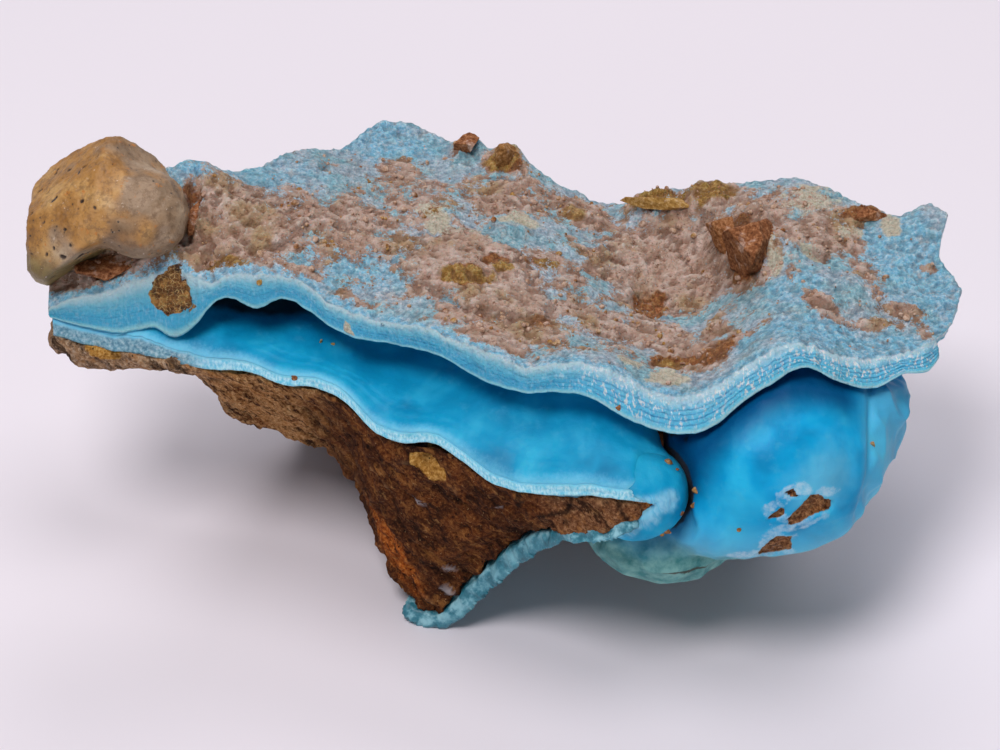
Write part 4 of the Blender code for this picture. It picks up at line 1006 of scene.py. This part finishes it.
def build_crumbs(top_height):
    """Loose grains of earth and crust on the roof."""
    rng = np.random.default_rng(311)
    x, y = rng.uniform(-45.0, 46.0, 12 * CRUMB_COUNT), rng.uniform(-15.0, 28.0, 12 * CRUMB_COUNT)
    front = curve_by_x(PLATE_FRONT_TOP, x, 1)
    back = curve_by_x(PLATE_BACK_TOP, x, 1)
    soil, rust, cream, _ = roof_dirt(x, y)
    keep = (y > front + 1.0) & (y < back - 0.8) & (rng.uniform(0.0, 1.0, len(x)) < 0.10 + 0.75 * soil)
    x, y, rust, cream = (values[keep][:CRUMB_COUNT] for values in (x, y, rust, cream))
    ground = roof_surface(top_height, x, y)
    stones = []
    for k in range(len(x)):
        points, faces = chipped(rng, 2, 6, 0.6)
        size = 0.13 + 0.28 * rng.uniform() ** 4
        points = points * size * rng.uniform(0.6, 1.2, 3)
        seat = np.array([x[k], y[k], ground[k] + 0.15 * size])
        points = turned(points, rng.uniform(0, 360), rng.uniform(-60, 60)) + seat
        warmth = np.clip(0.25 + 0.5 * rng.uniform() - 0.3 * rust[k], 0.0, 1.0)
        stones.append((points, faces, {"warmth": warmth, "cream": cream[k]}))
    return joined("roof_crumbs", stones)


def build_front_crumbs(carriers):
    """Crumbs of rock caught on the lower forms, each seated on the nearest surface."""
    bpy.context.view_layer.update()
    rng = np.random.default_rng(331)
    stones = []
    for x, y, z, size, warmth in CRUMBS:
        spot = Vector((np.array((x, y, z)) + SHIFT) * MM)
        seats = [body.closest_point_on_mesh(spot)[1] for body in carriers]
        seat = np.array(min(seats, key=lambda place: (place - spot).length)) / MM - SHIFT
        points, faces = chipped(rng, 3, 8, 0.30)
        points = points * 0.85 * size * rng.uniform(0.6, 1.25, 3)
        points = points * (1.0 + 0.15 * rough(points + 20.0 * x, 0.8, 2, 333))[:, None]
        points = turned(points, rng.uniform(0, 360), rng.uniform(-60, 60)) + seat
        stones.append((points, faces, {"warmth": warmth}))
    return joined("front_crumbs", stones)


def outline_distance(outline, x, y):
    """Signed distance inside a closed outline, millimetres."""
    rim = np.array(outline, float)
    after = np.roll(rim, -1, axis=0)
    nearest = np.full(x.shape, 1e9)
    inside = np.zeros(x.shape, bool)
    for (ax, ay), (bx, by) in zip(rim, after):
        ex, ey = bx - ax, by - ay
        t = np.clip(((x - ax) * ex + (y - ay) * ey) / (ex * ex + ey * ey), 0.0, 1.0)
        nearest = np.minimum(nearest, np.hypot(x - ax - t * ex, y - ay - t * ey))
        crosses = ((ay > y) != (by > y)) & (x < ax + (y - ay) * ex / (ey if ey else 1e-9))
        inside ^= crosses
    return np.where(inside, nearest, -nearest)


def build_patch(name, outline, top_height, cell=0.16):
    """Earth on the roof: it thins out and sinks into the crust at its ragged edge."""
    rim = np.array(outline)
    low, high = rim.min(axis=0) - 0.8, rim.max(axis=0) + 0.8
    cols, rows = (np.ceil((high - low) / cell)).astype(int) + 1
    x, y = np.meshgrid(np.linspace(low[0], high[0], cols), np.linspace(low[1], high[1], rows), indexing="ij")
    spots = flat_points(x, y)
    depth = outline_distance(outline, x, y) + 1.3 * rough(spots, 3.0, 3, 181)
    clods = 0.40 * ridged(spots, 2.0, 3, 183) + 0.16 * rough(spots, 0.8, 3, 187)
    thick = np.where(depth > 0.0, 0.25 * ease(depth, 0.0, 2.4) + ease(depth, 0.0, 2.0) * clods, 0.0)
    thick -= 0.35 * ease(depth, 0.8, -0.6)
    dirt = roof_dirt(x, y)
    grain = roof_grain(x, y, dirt)
    base = roof_surface(top_height, x, y, grain)
    top = lift(np.dstack([x, y]), base + np.clip(thick, -0.6, 1.25))
    bottom = lift(np.dstack([x, y]), base - 0.9)
    soil, rust, cream, clean = (np.tile(kind.ravel(), 2) for kind in dirt)
    # relief height of the patch; the material paints shade in its hollows and highlight on its crests
    dip = np.tile((grain + np.clip(thick, 0.0, 1.0) - 0.3).ravel(), 2)
    rim_cells = ring_cells(cols, rows)
    count = cols * rows
    cells = grid_faces(cols, rows)
    faces = cells.tolist() + (cells[:, ::-1] + count).tolist()
    edge = rim_cells[:, 0] * rows + rim_cells[:, 1]
    after = np.roll(edge, -1)
    faces += np.stack([edge, edge + count, after + count, after], axis=1).tolist()
    points = np.concatenate([top.reshape(-1, 3), bottom.reshape(-1, 3)])
    marks = dict.fromkeys(("gold", "run", "depth", "tone"), np.zeros(2 * count)) | {
        "soil": np.maximum(soil, np.tile(ease(depth, 0.0, 2.5).ravel(), 2)), "rust": rust, "cream": cream,
        "clean": clean, "dip": dip, "honey": np.tile(honey_share(x, y).ravel(), 2),
    }
    return mesh_object(name, points, faces, marks)


# ---- materials ----


def srgb(colour):
    """Linear colour from a triple of display values, 0 to 255; anything else stays as it is."""
    if not isinstance(colour, tuple) or len(colour) != 3:
        return colour
    shares = [v / 255.0 for v in colour]
    return tuple(v / 12.92 if v <= 0.04045 else ((v + 0.055) / 1.055) ** 2.4 for v in shares) + (1.0,)


class Shader:
    """Small helper round one node tree."""

    def __init__(self, name):
        self.material = bpy.data.materials.new(name)
        self.material.use_nodes = True
        self.tree = self.material.node_tree
        self.main = self.tree.nodes["Principled BSDF"]
        self.place = self.tree.nodes.new("ShaderNodeTexCoord").outputs["Object"]

    def node(self, kind, inputs, **settings):
        made = self.tree.nodes.new(kind)
        for key, value in settings.items():
            setattr(made, key, value)
        for key, value in inputs.items():
            self.feed(made.inputs[key], value)
        return made

    def feed(self, socket, value):
        if isinstance(value, bpy.types.NodeSocket):
            self.tree.links.new(value, socket)
        else:
            socket.default_value = value

    def mark(self, key):
        return self.node("ShaderNodeAttribute", {}, attribute_name=key).outputs["Fac"]

    def noise(self, size, detail=3.0, place=None, distortion=0.0, harsh=0.5):
        """Noise whose lumps measure size millimetres; a place of its own is in millimetres too."""
        scale = 1.0 / (size * MM) if place is None else 1.0 / size
        inputs = {"Vector": place or self.place, "Scale": scale, "Detail": detail}
        inputs |= {"Distortion": distortion, "Roughness": harsh}
        return self.node("ShaderNodeTexNoise", inputs).outputs["Fac"]

    def cells(self, size, feature="F1"):
        inputs = {"Vector": self.place, "Scale": 1.0 / (size * MM)}
        return self.node("ShaderNodeTexVoronoi", inputs, feature=feature).outputs["Distance"]

    def math(self, operation, a, b):
        return self.node("ShaderNodeMath", {0: a, 1: b}, operation=operation).outputs[0]

    def times(self, a, b):
        return self.math("MULTIPLY", a, b)

    def plus(self, a, b):
        return self.math("ADD", a, b)

    def minus(self, a, b):
        return self.math("SUBTRACT", a, b)

    def band(self, value, low, high):
        """0 at low, 1 at high, smooth between."""
        made = self.node(
            "ShaderNodeMapRange", {"Value": value, "From Min": low, "From Max": high},
            interpolation_type="SMOOTHSTEP",
        )
        return made.outputs["Result"]

    def mix(self, share, a, b):
        return self.node("ShaderNodeMix", {0: share, 6: srgb(a), 7: srgb(b)}, data_type="RGBA").outputs[2]

    def ramp(self, value, stops):
        made = self.node("ShaderNodeValToRGB", {"Fac": value})
        points = made.color_ramp.elements
        while len(points) < len(stops):
            points.new(0.5)
        for point, (position, colour) in zip(points, stops):
            point.position = position
            point.color = srgb(colour)
        return made.outputs["Color"]

    def bump(self, height, distance, strength=1.0, below=None):
        inputs = {"Height": height, "Distance": distance * MM, "Strength": strength}
        if below is not None:
            inputs["Normal"] = below
        return self.node("ShaderNodeBump", inputs).outputs["Normal"]

    def finish(self, colour, roughness, normal, **values):
        self.feed(self.main.inputs["Base Color"], srgb(colour))
        self.feed(self.main.inputs["Roughness"], roughness)
        self.feed(self.main.inputs["Normal"], normal)
        for key, value in values.items():
            self.main.inputs[key.replace("_", " ")].default_value = value
        return self.material


def soil_colour(s, rust, dip):
    """Pink-brown earth with rust, ochre flecks, painted shade in the hollows of the relief and painted
    highlight on its crests.
    """
    cloud = s.noise(2.6, 5.0, harsh=0.6)
    fine = s.noise(0.5, 5.0, harsh=0.75)
    base = s.ramp(cloud, ((0.30, (166, 130, 106)), (0.5, (198, 166, 148)), (0.70, (224, 202, 190))))
    base = s.mix(s.band(s.noise(5.0, 3.0), 0.52, 0.68), base, (182, 150, 114))
    base = s.mix(s.band(fine, 0.45, 0.32), base, (122, 84, 58))
    base = s.mix(s.band(fine, 0.58, 0.72), base, (236, 220, 208))
    warm = s.ramp(fine, ((0.3, (84, 42, 18)), (0.5, (146, 92, 52)), (0.7, (200, 146, 90))))
    base = s.mix(s.band(s.plus(rust, s.times(cloud, 0.5)), 0.50, 0.95), base, warm)
    olive = s.ramp(fine, ((0.3, (104, 70, 24)), (0.5, (168, 126, 62)), (0.7, (214, 180, 118))))
    base = s.mix(s.band(s.plus(s.mark("honey"), s.times(cloud, 0.5)), 0.55, 0.95), base, olive)
    # painted shade in the relief's hollows, then painted highlight on its crests
    base = s.mix(s.times(s.band(dip, 0.40, 0.05), 0.60), base, (110, 74, 50))
    base = s.mix(s.times(s.band(dip, 0.62, 0.95), 0.45), base, (236, 218, 206))
    return base, fine


def roof_wall(s, depth, tone, run, cloud):
    """Broken edge: fibres across it, growth lines along it and a clear lower lip."""
    tall = s.node("ShaderNodeCombineXYZ", {"X": run, "Y": depth}).outputs[0]
    cell = s.node("ShaderNodeCombineXYZ", {"X": run, "Y": s.times(depth, 2.2)}).outputs[0]
    fibre = s.noise(0.25, 3.0, tall, harsh=0.6)
    fleck = s.noise(0.42, 3.0, cell, harsh=0.6)
    groups = s.noise(2.6, 3.0, cell, harsh=0.6)
    right = s.ramp(depth, (
        (0.0, (204, 224, 232)), (0.18, (184, 222, 236)), (0.36, (128, 208, 238)),
        (0.60, (100, 202, 240)), (0.88, (100, 204, 242)), (0.97, (180, 230, 244)), (1.0, (110, 204, 234)),
    ))
    left = s.ramp(depth, (
        (0.0, (210, 222, 226)), (0.16, (182, 216, 226)), (0.34, (116, 192, 216)),
        (0.62, (72, 176, 214)), (0.86, (70, 174, 214)), (0.96, (156, 218, 232)), (1.0, (84, 182, 216)),
    ))
    base = s.mix(tone, left, right)
    share = s.times(s.band(fibre, 0.50, 0.72), s.plus(0.18, s.times(tone, 0.25)))
    base = s.mix(share, base, (176, 222, 240))
    white = s.times(s.band(fleck, 0.51, 0.60), s.band(groups, 0.34, 0.54))
    white = s.times(white, s.times(s.band(depth, 0.95, 0.80), s.plus(0.12, s.times(tone, 0.83))))
    base = s.mix(white, base, (236, 242, 246))
    wobble = s.plus(depth, s.times(s.minus(s.noise(3.0, 3.0, tall), 0.5), 0.05))
    stops = [(0.0, 0.0)]
    for middle, strength in zip(GROOVES, (0.8, 0.7, 1.0, 0.8)):
        stops += [(middle - 0.028, 0.0), (middle, strength), (middle + 0.028, 0.0)]
    lines = s.ramp(wobble, tuple((at, (value, value, value, 1.0)) for at, value in stops))
    share = s.times(lines, s.plus(0.12, s.times(tone, 0.50)))
    base = s.mix(s.times(share, s.band(groups, 0.70, 0.40)), base, (36, 140, 198))
    under = s.ramp(cloud, ((0.3, (34, 168, 222)), (0.7, (72, 196, 236))))
    return s.mix(s.band(depth, 0.985, 1.0), base, under), fleck, lines


def roof_material(name):
    s = Shader(name)
    soil, rust, cream, clean = (s.mark(k) for k in ("soil", "rust", "cream", "clean"))
    run, depth, tone, dip = (s.mark(k) for k in ("run", "depth", "tone", "dip"))
    sugar = s.noise(0.42, 6.0, harsh=0.75)
    cloud = s.noise(3.4, 4.0)
    blotch = s.noise(1.5, 5.0, harsh=0.7)
    wall = s.band(depth, 0.0, 0.10)
    grey = s.ramp(sugar, ((0.32, (118, 146, 166)), (0.50, (182, 200, 212)), (0.68, (234, 236, 240))))
    teal = s.ramp(sugar, ((0.32, (98, 150, 168)), (0.50, (148, 194, 206)), (0.68, (200, 224, 228))))
    blue = s.ramp(sugar, ((0.32, (84, 160, 200)), (0.50, (132, 202, 232)), (0.68, (212, 234, 244))))
    dust = s.ramp(sugar, ((0.32, (138, 122, 114)), (0.50, (190, 178, 170)), (0.68, (232, 222, 216))))
    top = s.mix(s.band(cloud, 0.40, 0.60), grey, teal)
    top = s.mix(s.times(clean, s.band(blotch, 0.30, 0.55)), top, blue)
    top = s.mix(s.times(s.band(blotch, 0.50, 0.68), 0.6), top, dust)
    # painted shade: darker grey-blue in the hollows of the relief
    top = s.mix(s.times(s.band(dip, 0.22, 0.0), 0.45), top, (70, 100, 120))
    edge, fleck, lines = roof_wall(s, depth, tone, run, cloud)
    crust_colour = s.mix(wall, top, edge)
    pale = s.ramp(sugar, ((0.34, (160, 148, 124)), (0.6, (218, 210, 190))))
    crust_colour = s.mix(s.band(s.plus(cream, s.times(sugar, 0.9)), 0.75, 1.25), crust_colour, pale)
    earth, fine = soil_colour(s, rust, dip)
    coarse = s.times(s.minus(s.noise(1.3, 6.0, harsh=0.75), 0.5), 2.4)
    speck = s.times(s.minus(s.noise(0.35, 4.0, harsh=0.8), 0.5), 2.2)
    amount = s.plus(soil, s.plus(coarse, speck))
    cover = s.times(s.band(amount, 0.30, 0.66), s.band(soil, 0.02, 0.16))
    cover = s.times(cover, s.band(depth, 0.86, 0.74))
    colour = s.mix(cover, crust_colour, earth)
    lattice = s.band(s.plus(s.cells(0.5, "DISTANCE_TO_EDGE"), s.times(fine, 0.5)), 0.34, 0.22)
    inset = s.ramp(blotch, ((0.36, (56, 28, 10)), (0.5, (122, 78, 32)), (0.62, (190, 144, 78))))
    inset = s.mix(s.times(lattice, 0.7), inset, (214, 182, 122))
    colour = s.mix(s.band(s.mark("gold"), 0.35, 0.6), colour, inset)
    roughness = s.plus(0.40, s.times(cover, 0.52))
    grains = s.cells(0.32)
    low = s.bump(sugar, 0.30, 0.9, s.bump(coarse, 0.22, 0.6))
    small = s.plus(s.times(grains, 0.9), fine)
    normal = s.bump(small, 0.22, 0.85, low)
    normal = s.bump(s.minus(fleck, lines), 0.10, 0.6, normal)
    return s.finish(
        colour, roughness, normal, Subsurface_Weight=0.45, Subsurface_Radius=(0.3, 0.8, 1.0),
        Subsurface_Scale=0.0018, Specular_IOR_Level=0.4,
    )


def glossy_material(name, shades, with_marks):
    s = Shader(name)
    cloud = s.noise(5.5, 3.0, distortion=0.4)
    streak = s.noise(1.6, 4.0, harsh=0.6)
    fine = s.noise(0.35, 4.0, harsh=0.65)
    colour = s.ramp(cloud, tuple(zip((0.30, 0.50, 0.72), shades)))
    colour = s.mix(s.times(s.band(streak, 0.54, 0.76), 0.25), colour, (84, 180, 210))
    if with_marks == "tongue":
        depth, pale = s.mark("depth"), s.mark("pale")
        run = s.mark("run")
        strip = s.node("ShaderNodeCombineXYZ", {"X": run, "Y": s.times(depth, 0.6)}).outputs[0]
        fibre = s.noise(0.3, 3.0, strip, harsh=0.6)
        edge = s.ramp(fibre, ((0.36, (100, 184, 216)), (0.62, (178, 218, 234))))
        share = s.times(s.band(s.plus(pale, s.times(fine, 0.5)), 0.5, 1.25), 0.75)
        colour = s.mix(share, colour, (128, 206, 234))
        colour = s.mix(s.band(depth, 0.02, 0.4), colour, edge)
        # painted shade: near black at the back of the cavity under the roof
        colour = s.mix(s.times(s.mark("deep"), 0.92), colour, (20, 24, 26))
        dull = s.ramp(fine, ((0.36, (84, 128, 150)), (0.52, (124, 164, 180)), (0.68, (170, 192, 202))))
        colour = s.mix(s.times(s.mark("worn"), s.band(depth, 0.0, 0.3)), colour, dull)
    if with_marks == "lobe":
        teal = s.mark("teal")
        green = s.ramp(streak, ((0.36, (64, 128, 130)), (0.62, (122, 172, 168))))
        # paler towards the bottom and on the right bulge, with a painted highlight on the crest
        colour = s.mix(s.times(s.mark("light"), 0.55), colour, (132, 204, 222))
        # painted shade: deeper blue where the lobe lies under the roof's rim
        colour = s.mix(s.times(s.mark("deep"), 0.92), colour, (0, 66, 116))
        colour = s.mix(teal, colour, green)
        broken, frost = s.mark("broken"), s.mark("frost")
        grain = s.times(s.minus(s.noise(0.7, 5.0, harsh=0.75), 0.5), 1.6)
        white = s.times(s.band(s.plus(frost, grain), 0.30, 1.05), 0.68)
        colour = s.mix(white, colour, (196, 218, 230))
        brown = s.ramp(fine, ((0.34, (60, 32, 14)), (0.5, (122, 78, 44)), (0.66, (170, 124, 80))))
        colour = s.mix(s.band(s.plus(broken, s.times(grain, 0.4)), 0.35, 0.6), colour, brown)
        # brown dirt marks, and painted shade along the seam with the nose
        dirt = s.plus(s.mark("dirt"), s.times(grain, 0.5))
        colour = s.mix(s.times(s.band(dirt, 0.3, 0.8), 0.85), colour, (58, 46, 32))
    normal = s.bump(fine, 0.06, 0.45, s.bump(streak, 0.3, 0.35))
    roughness = s.plus(0.34, s.times(fine, 0.22))
    return s.finish(
        colour, roughness, normal, Subsurface_Weight=0.35, Subsurface_Radius=(0.25, 0.8, 1.2),
        Subsurface_Scale=0.0012, Coat_Weight=0.05, Coat_Roughness=0.30, Specular_IOR_Level=0.10,
    )


def coat_material():
    s = Shader("under_crust_look")
    streak = s.noise(1.4, 5.0, harsh=0.6)
    fine = s.noise(0.35, 4.0, harsh=0.65)
    colour = s.ramp(streak, ((0.3, (26, 92, 108)), (0.5, (56, 130, 148)), (0.7, (104, 172, 186))))
    colour = s.mix(s.times(s.mark("edge"), s.times(s.band(streak, 0.44, 0.62), 0.7)), colour, (164, 210, 220))
    colour = s.mix(s.band(fine, 0.62, 0.78), colour, (180, 212, 216))
    normal = s.bump(fine, 0.08, 0.5, s.bump(streak, 0.3, 0.4))
    return s.finish(
        colour, 0.38, normal, Subsurface_Weight=0.35, Subsurface_Radius=(0.5, 0.9, 1.0),
        Subsurface_Scale=0.001,
    )


def rock_material(name):
    s = Shader(name)
    rust, light, ochre, core, dip = (s.mark(k) for k in ("rust", "light", "ochre", "core", "dip"))
    slanted = s.node("ShaderNodeMapping", {
        "Vector": s.place, "Rotation": (0.0, 0.735, 0.0), "Scale": (MM, MM, 0.36 * MM),
    }, vector_type="TEXTURE").outputs[0]
    grainy = s.noise(3.4, 6.0, slanted, harsh=0.75)
    patchy = s.noise(1.5, 5.0, slanted, harsh=0.7)
    cloud = s.noise(3.2, 5.0, harsh=0.6)
    fine = s.noise(0.4, 5.0, harsh=0.7)
    dark = s.ramp(fine, ((0.32, (40, 17, 8)), (0.5, (74, 38, 18)), (0.70, (118, 72, 40))))
    warm = s.ramp(fine, ((0.32, (62, 26, 9)), (0.5, (102, 54, 24)), (0.70, (146, 94, 50))))
    tan = s.ramp(fine, ((0.30, (122, 76, 40)), (0.5, (184, 134, 84)), (0.70, (226, 186, 134))))
    grit = s.ramp(fine, ((0.32, (74, 40, 20)), (0.5, (128, 84, 54)), (0.68, (190, 144, 104))))
    colour = s.mix(s.band(s.plus(cloud, s.times(rust, 0.3)), 0.50, 0.78), dark, warm)
    colour = s.mix(s.times(light, s.band(patchy, 0.36, 0.56)), colour, tan)
    colour = s.mix(s.times(core, 0.75), colour, grit)
    ashen = s.ramp(fine, ((0.32, (96, 78, 62)), (0.5, (150, 128, 108)), (0.68, (204, 190, 174))))
    colour = s.mix(s.times(s.mark("ash"), 0.55), colour, ashen)
    colour = s.mix(s.times(s.band(grainy, 0.48, 0.38), 0.82), colour, (28, 11, 5))
    colour = s.mix(s.times(s.band(grainy, 0.54, 0.64), 0.60), colour, (164, 108, 56))
    colour = s.mix(s.times(s.band(patchy, 0.58, 0.70), 0.50), colour, (186, 136, 84))
    colour = s.mix(s.times(s.band(patchy, 0.44, 0.32), 0.45), colour, (34, 14, 6))
    burnt = s.ramp(fine, ((0.32, (104, 44, 10)), (0.5, (168, 84, 26)), (0.68, (214, 138, 66))))
    colour = s.mix(s.times(s.mark("orange"), s.band(patchy, 0.38, 0.54)), colour, burnt)
    colour = s.mix(s.times(s.mark("bits"), s.band(patchy, 0.34, 0.50)), colour, (158, 150, 152))
    gold = s.ramp(fine, ((0.34, (130, 84, 30)), (0.5, (180, 128, 58)), (0.68, (222, 178, 106))))
    colour = s.mix(s.band(ochre, 0.35, 0.65), colour, gold)
    # painted shade in the hollows of the relief, then painted highlight on its crests
    colour = s.mix(s.times(s.band(dip, -0.15, -0.75), 0.8), colour, (30, 12, 6))
    colour = s.mix(s.times(s.band(dip, 0.35, 0.9), 0.35), colour, (190, 146, 104))
    pores = s.band(s.cells(0.9), 0.16, 0.05)
    colour = s.mix(pores, colour, (24, 10, 6))
    colour = s.mix(s.times(s.mark("crack"), 0.85), colour, (20, 8, 4))
    fleck = s.band(s.noise(0.22, 2.0), 0.68, 0.78)
    colour = s.mix(s.times(fleck, 0.6), colour, (214, 176, 128))
    normal = s.bump(fine, 0.28, 0.9, s.bump(s.plus(cloud, grainy), 0.5, 0.6))
    return s.finish(colour, 0.9, normal, Specular_IOR_Level=0.15)


def rubble_material(name, earthy):
    """Rust to golden rock; the lower earthy is, the more pink earth covers it."""
    s = Shader(name)
    warmth = s.mark("warmth")
    fine = s.noise(0.45, 5.0, harsh=0.75)
    cloud = s.noise(1.6, 4.0, harsh=0.6)
    dark = s.ramp(fine, ((0.32, (72, 34, 14)), (0.5, (142, 86, 50)), (0.68, (196, 142, 100))))
    gold = s.ramp(fine, ((0.32, (124, 86, 34)), (0.5, (182, 138, 72)), (0.68, (222, 190, 136))))
    pink = s.ramp(fine, ((0.32, (150, 112, 90)), (0.5, (200, 168, 150)), (0.68, (232, 212, 200))))
    colour = s.mix(s.band(warmth, 0.1, 0.9), dark, gold)
    colour = s.mix(s.times(s.band(cloud, earthy, earthy + 0.14), 0.75), colour, pink)
    normal = s.bump(fine, 0.25, 0.9, s.bump(cloud, 0.3, 0.5))
    return s.finish(colour, 0.85, normal, Specular_IOR_Level=0.25)


def stone_material():
    s = Shader("corner_stone_look")
    ochre, olive, pit = s.mark("ochre"), s.mark("olive"), s.mark("pit")
    cloud = s.noise(4.5, 6.0, harsh=0.6)
    fine = s.noise(0.5, 5.0, harsh=0.65)
    grey = s.ramp(cloud, ((0.3, (122, 98, 72)), (0.5, (158, 130, 102)), (0.7, (186, 164, 138))))
    tan = s.ramp(cloud, ((0.3, (138, 92, 38)), (0.5, (178, 128, 66)), (0.7, (206, 164, 104))))
    moss = s.ramp(cloud, ((0.3, (92, 76, 44)), (0.5, (128, 110, 68)), (0.7, (158, 140, 96))))
    colour = s.mix(olive, s.mix(ochre, grey, tan), moss)
    colour = s.mix(s.times(s.band(s.noise(0.9, 6.0, harsh=0.8), 0.52, 0.40), 0.5), colour, (108, 78, 50))
    colour = s.mix(s.band(s.noise(1.1, 4.0, harsh=0.7), 0.60, 0.72), colour, (186, 116, 44))
    speck = s.band(s.cells(0.8), 0.20, 0.10)
    colour = s.mix(s.times(speck, s.band(cloud, 0.5, 0.4)), colour, (52, 40, 34))
    colour = s.mix(s.band(pit, 0.02, 0.2), colour, (64, 48, 38))
    # painted glints: pale flecks from fine noise
    colour = s.mix(s.band(fine, 0.64, 0.74), colour, (218, 200, 184))
    normal = s.bump(fine, 0.16, 0.7, s.bump(s.noise(1.6, 5.0, harsh=0.7), 0.4, 0.6))
    return s.finish(colour, 0.52, normal, Specular_IOR_Level=0.5)


def dress(body, material, slot, *nodes):
    body.data.materials.clear()
    body.data.materials.append(material)
    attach(body, "root")
    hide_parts(*nodes)


def build_floor():
    mesh = bpy.data.meshes.new("floor")
    side = FLOOR_SIDE
    corners = [(-side, -side, 0), (side, -side, 0), (side, side, 0), (-side, side, 0)]
    mesh.from_pydata(corners, [], [(0, 1, 2, 3)])
    floor = bpy.data.objects.new("floor", mesh)
    bpy.context.collection.objects.link(floor)
    s = Shader("pale_floor")
    mesh.materials.append(s.finish((236, 228, 234), 0.7, s.bump(s.noise(0.3), 0.01, 0.1)))


def build_light():
    for name, (place, size, power, colour) in LAMPS.items():
        lamp = bpy.data.lights.new(name, "AREA")
        lamp.shape = "DISK"
        lamp.size = size
        lamp.energy = power
        lamp.color = colour
        body = bpy.data.objects.new(name, lamp)
        body.location = place
        body.rotation_euler = (Vector(LAMP_TARGET) - Vector(place)).to_track_quat("-Z", "Y").to_euler()
        bpy.context.collection.objects.link(body)
    world = bpy.data.worlds.new("studio")
    bpy.context.scene.world = world
    world.use_nodes = True
    back = world.node_tree.nodes["Background"]
    back.inputs["Color"].default_value = srgb(WORLD_COLOUR)
    back.inputs["Strength"].default_value = WORLD_STRENGTH


def build_camera():
    lens = bpy.data.cameras.new("camera")
    lens.lens = LENS
    lens.sensor_width = SENSOR
    lens.clip_start = 0.01
    camera = bpy.data.objects.new("camera", lens)
    camera.location = Vector((CAMERA_PLACE + SHIFT) * MM)
    camera.rotation_euler = (math.radians(CAMERA_TILT), 0.0, 0.0)
    bpy.context.collection.objects.link(camera)
    bpy.context.scene.camera = camera


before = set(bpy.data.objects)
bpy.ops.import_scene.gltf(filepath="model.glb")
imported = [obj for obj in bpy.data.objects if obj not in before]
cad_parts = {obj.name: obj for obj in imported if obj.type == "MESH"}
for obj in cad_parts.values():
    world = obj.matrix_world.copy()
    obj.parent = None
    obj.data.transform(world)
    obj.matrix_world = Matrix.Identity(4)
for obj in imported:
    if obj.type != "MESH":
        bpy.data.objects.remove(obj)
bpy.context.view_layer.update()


def main():
    bpy.context.scene.view_settings.view_transform = "Standard"
    top_height, roof_low = plate_heights()
    roof = build_roof(top_height, roof_low)
    dress(roof, roof_material("upper_crust_look"), "upper_crust", "upper_crust")
    tongue = tongue_height(roof_low)
    sheet = build_tongue(tongue)
    dress(sheet, glossy_material("lower_crust_look", BLUES, "tongue"), "lower_crust", "lower_crust")
    nose = build_nose(tongue)
    dress(nose, glossy_material("lower_crust_nose_look", BLUES, "tongue"), "lower_crust", "lower_crust")
    dress(build_core_tip(), rock_material("core_tip_look"), "lower_matrix", "lower_matrix")
    dress(build_matrix(), rock_material("lower_matrix_look"), "lower_matrix", "lower_matrix")
    dress(build_coat(), coat_material(), "under_crust", "under_crust")
    lobe = build_lobe()
    dress(lobe, glossy_material("right_lobe_look", BRIGHT_BLUES, "lobe"), "right_lobe", "right_lobe")
    bits = build_front_crumbs((roof, sheet, nose, lobe))
    dress(bits, rubble_material("front_crumbs_look", 0.60), "lower_matrix")
    dress(build_stone(top_height), stone_material(), "corner_stone", "corner_stone")
    dress(build_rocks(top_height), rubble_material("roof_rocks_look", 0.56), "roof_matrix_right")
    dress(build_crumbs(top_height), rubble_material("roof_crumbs_look", 0.38), "roof_matrix_middle")
    for node, outline in PATCHES.items():
        patch = build_patch(node.replace("roof_matrix", "roof_earth"), outline, top_height)
        dress(patch, roof_material(node + "_look"), node, node)
    build_floor()
    build_light()
    build_camera()


main()
bpy.context.view_layer.update()
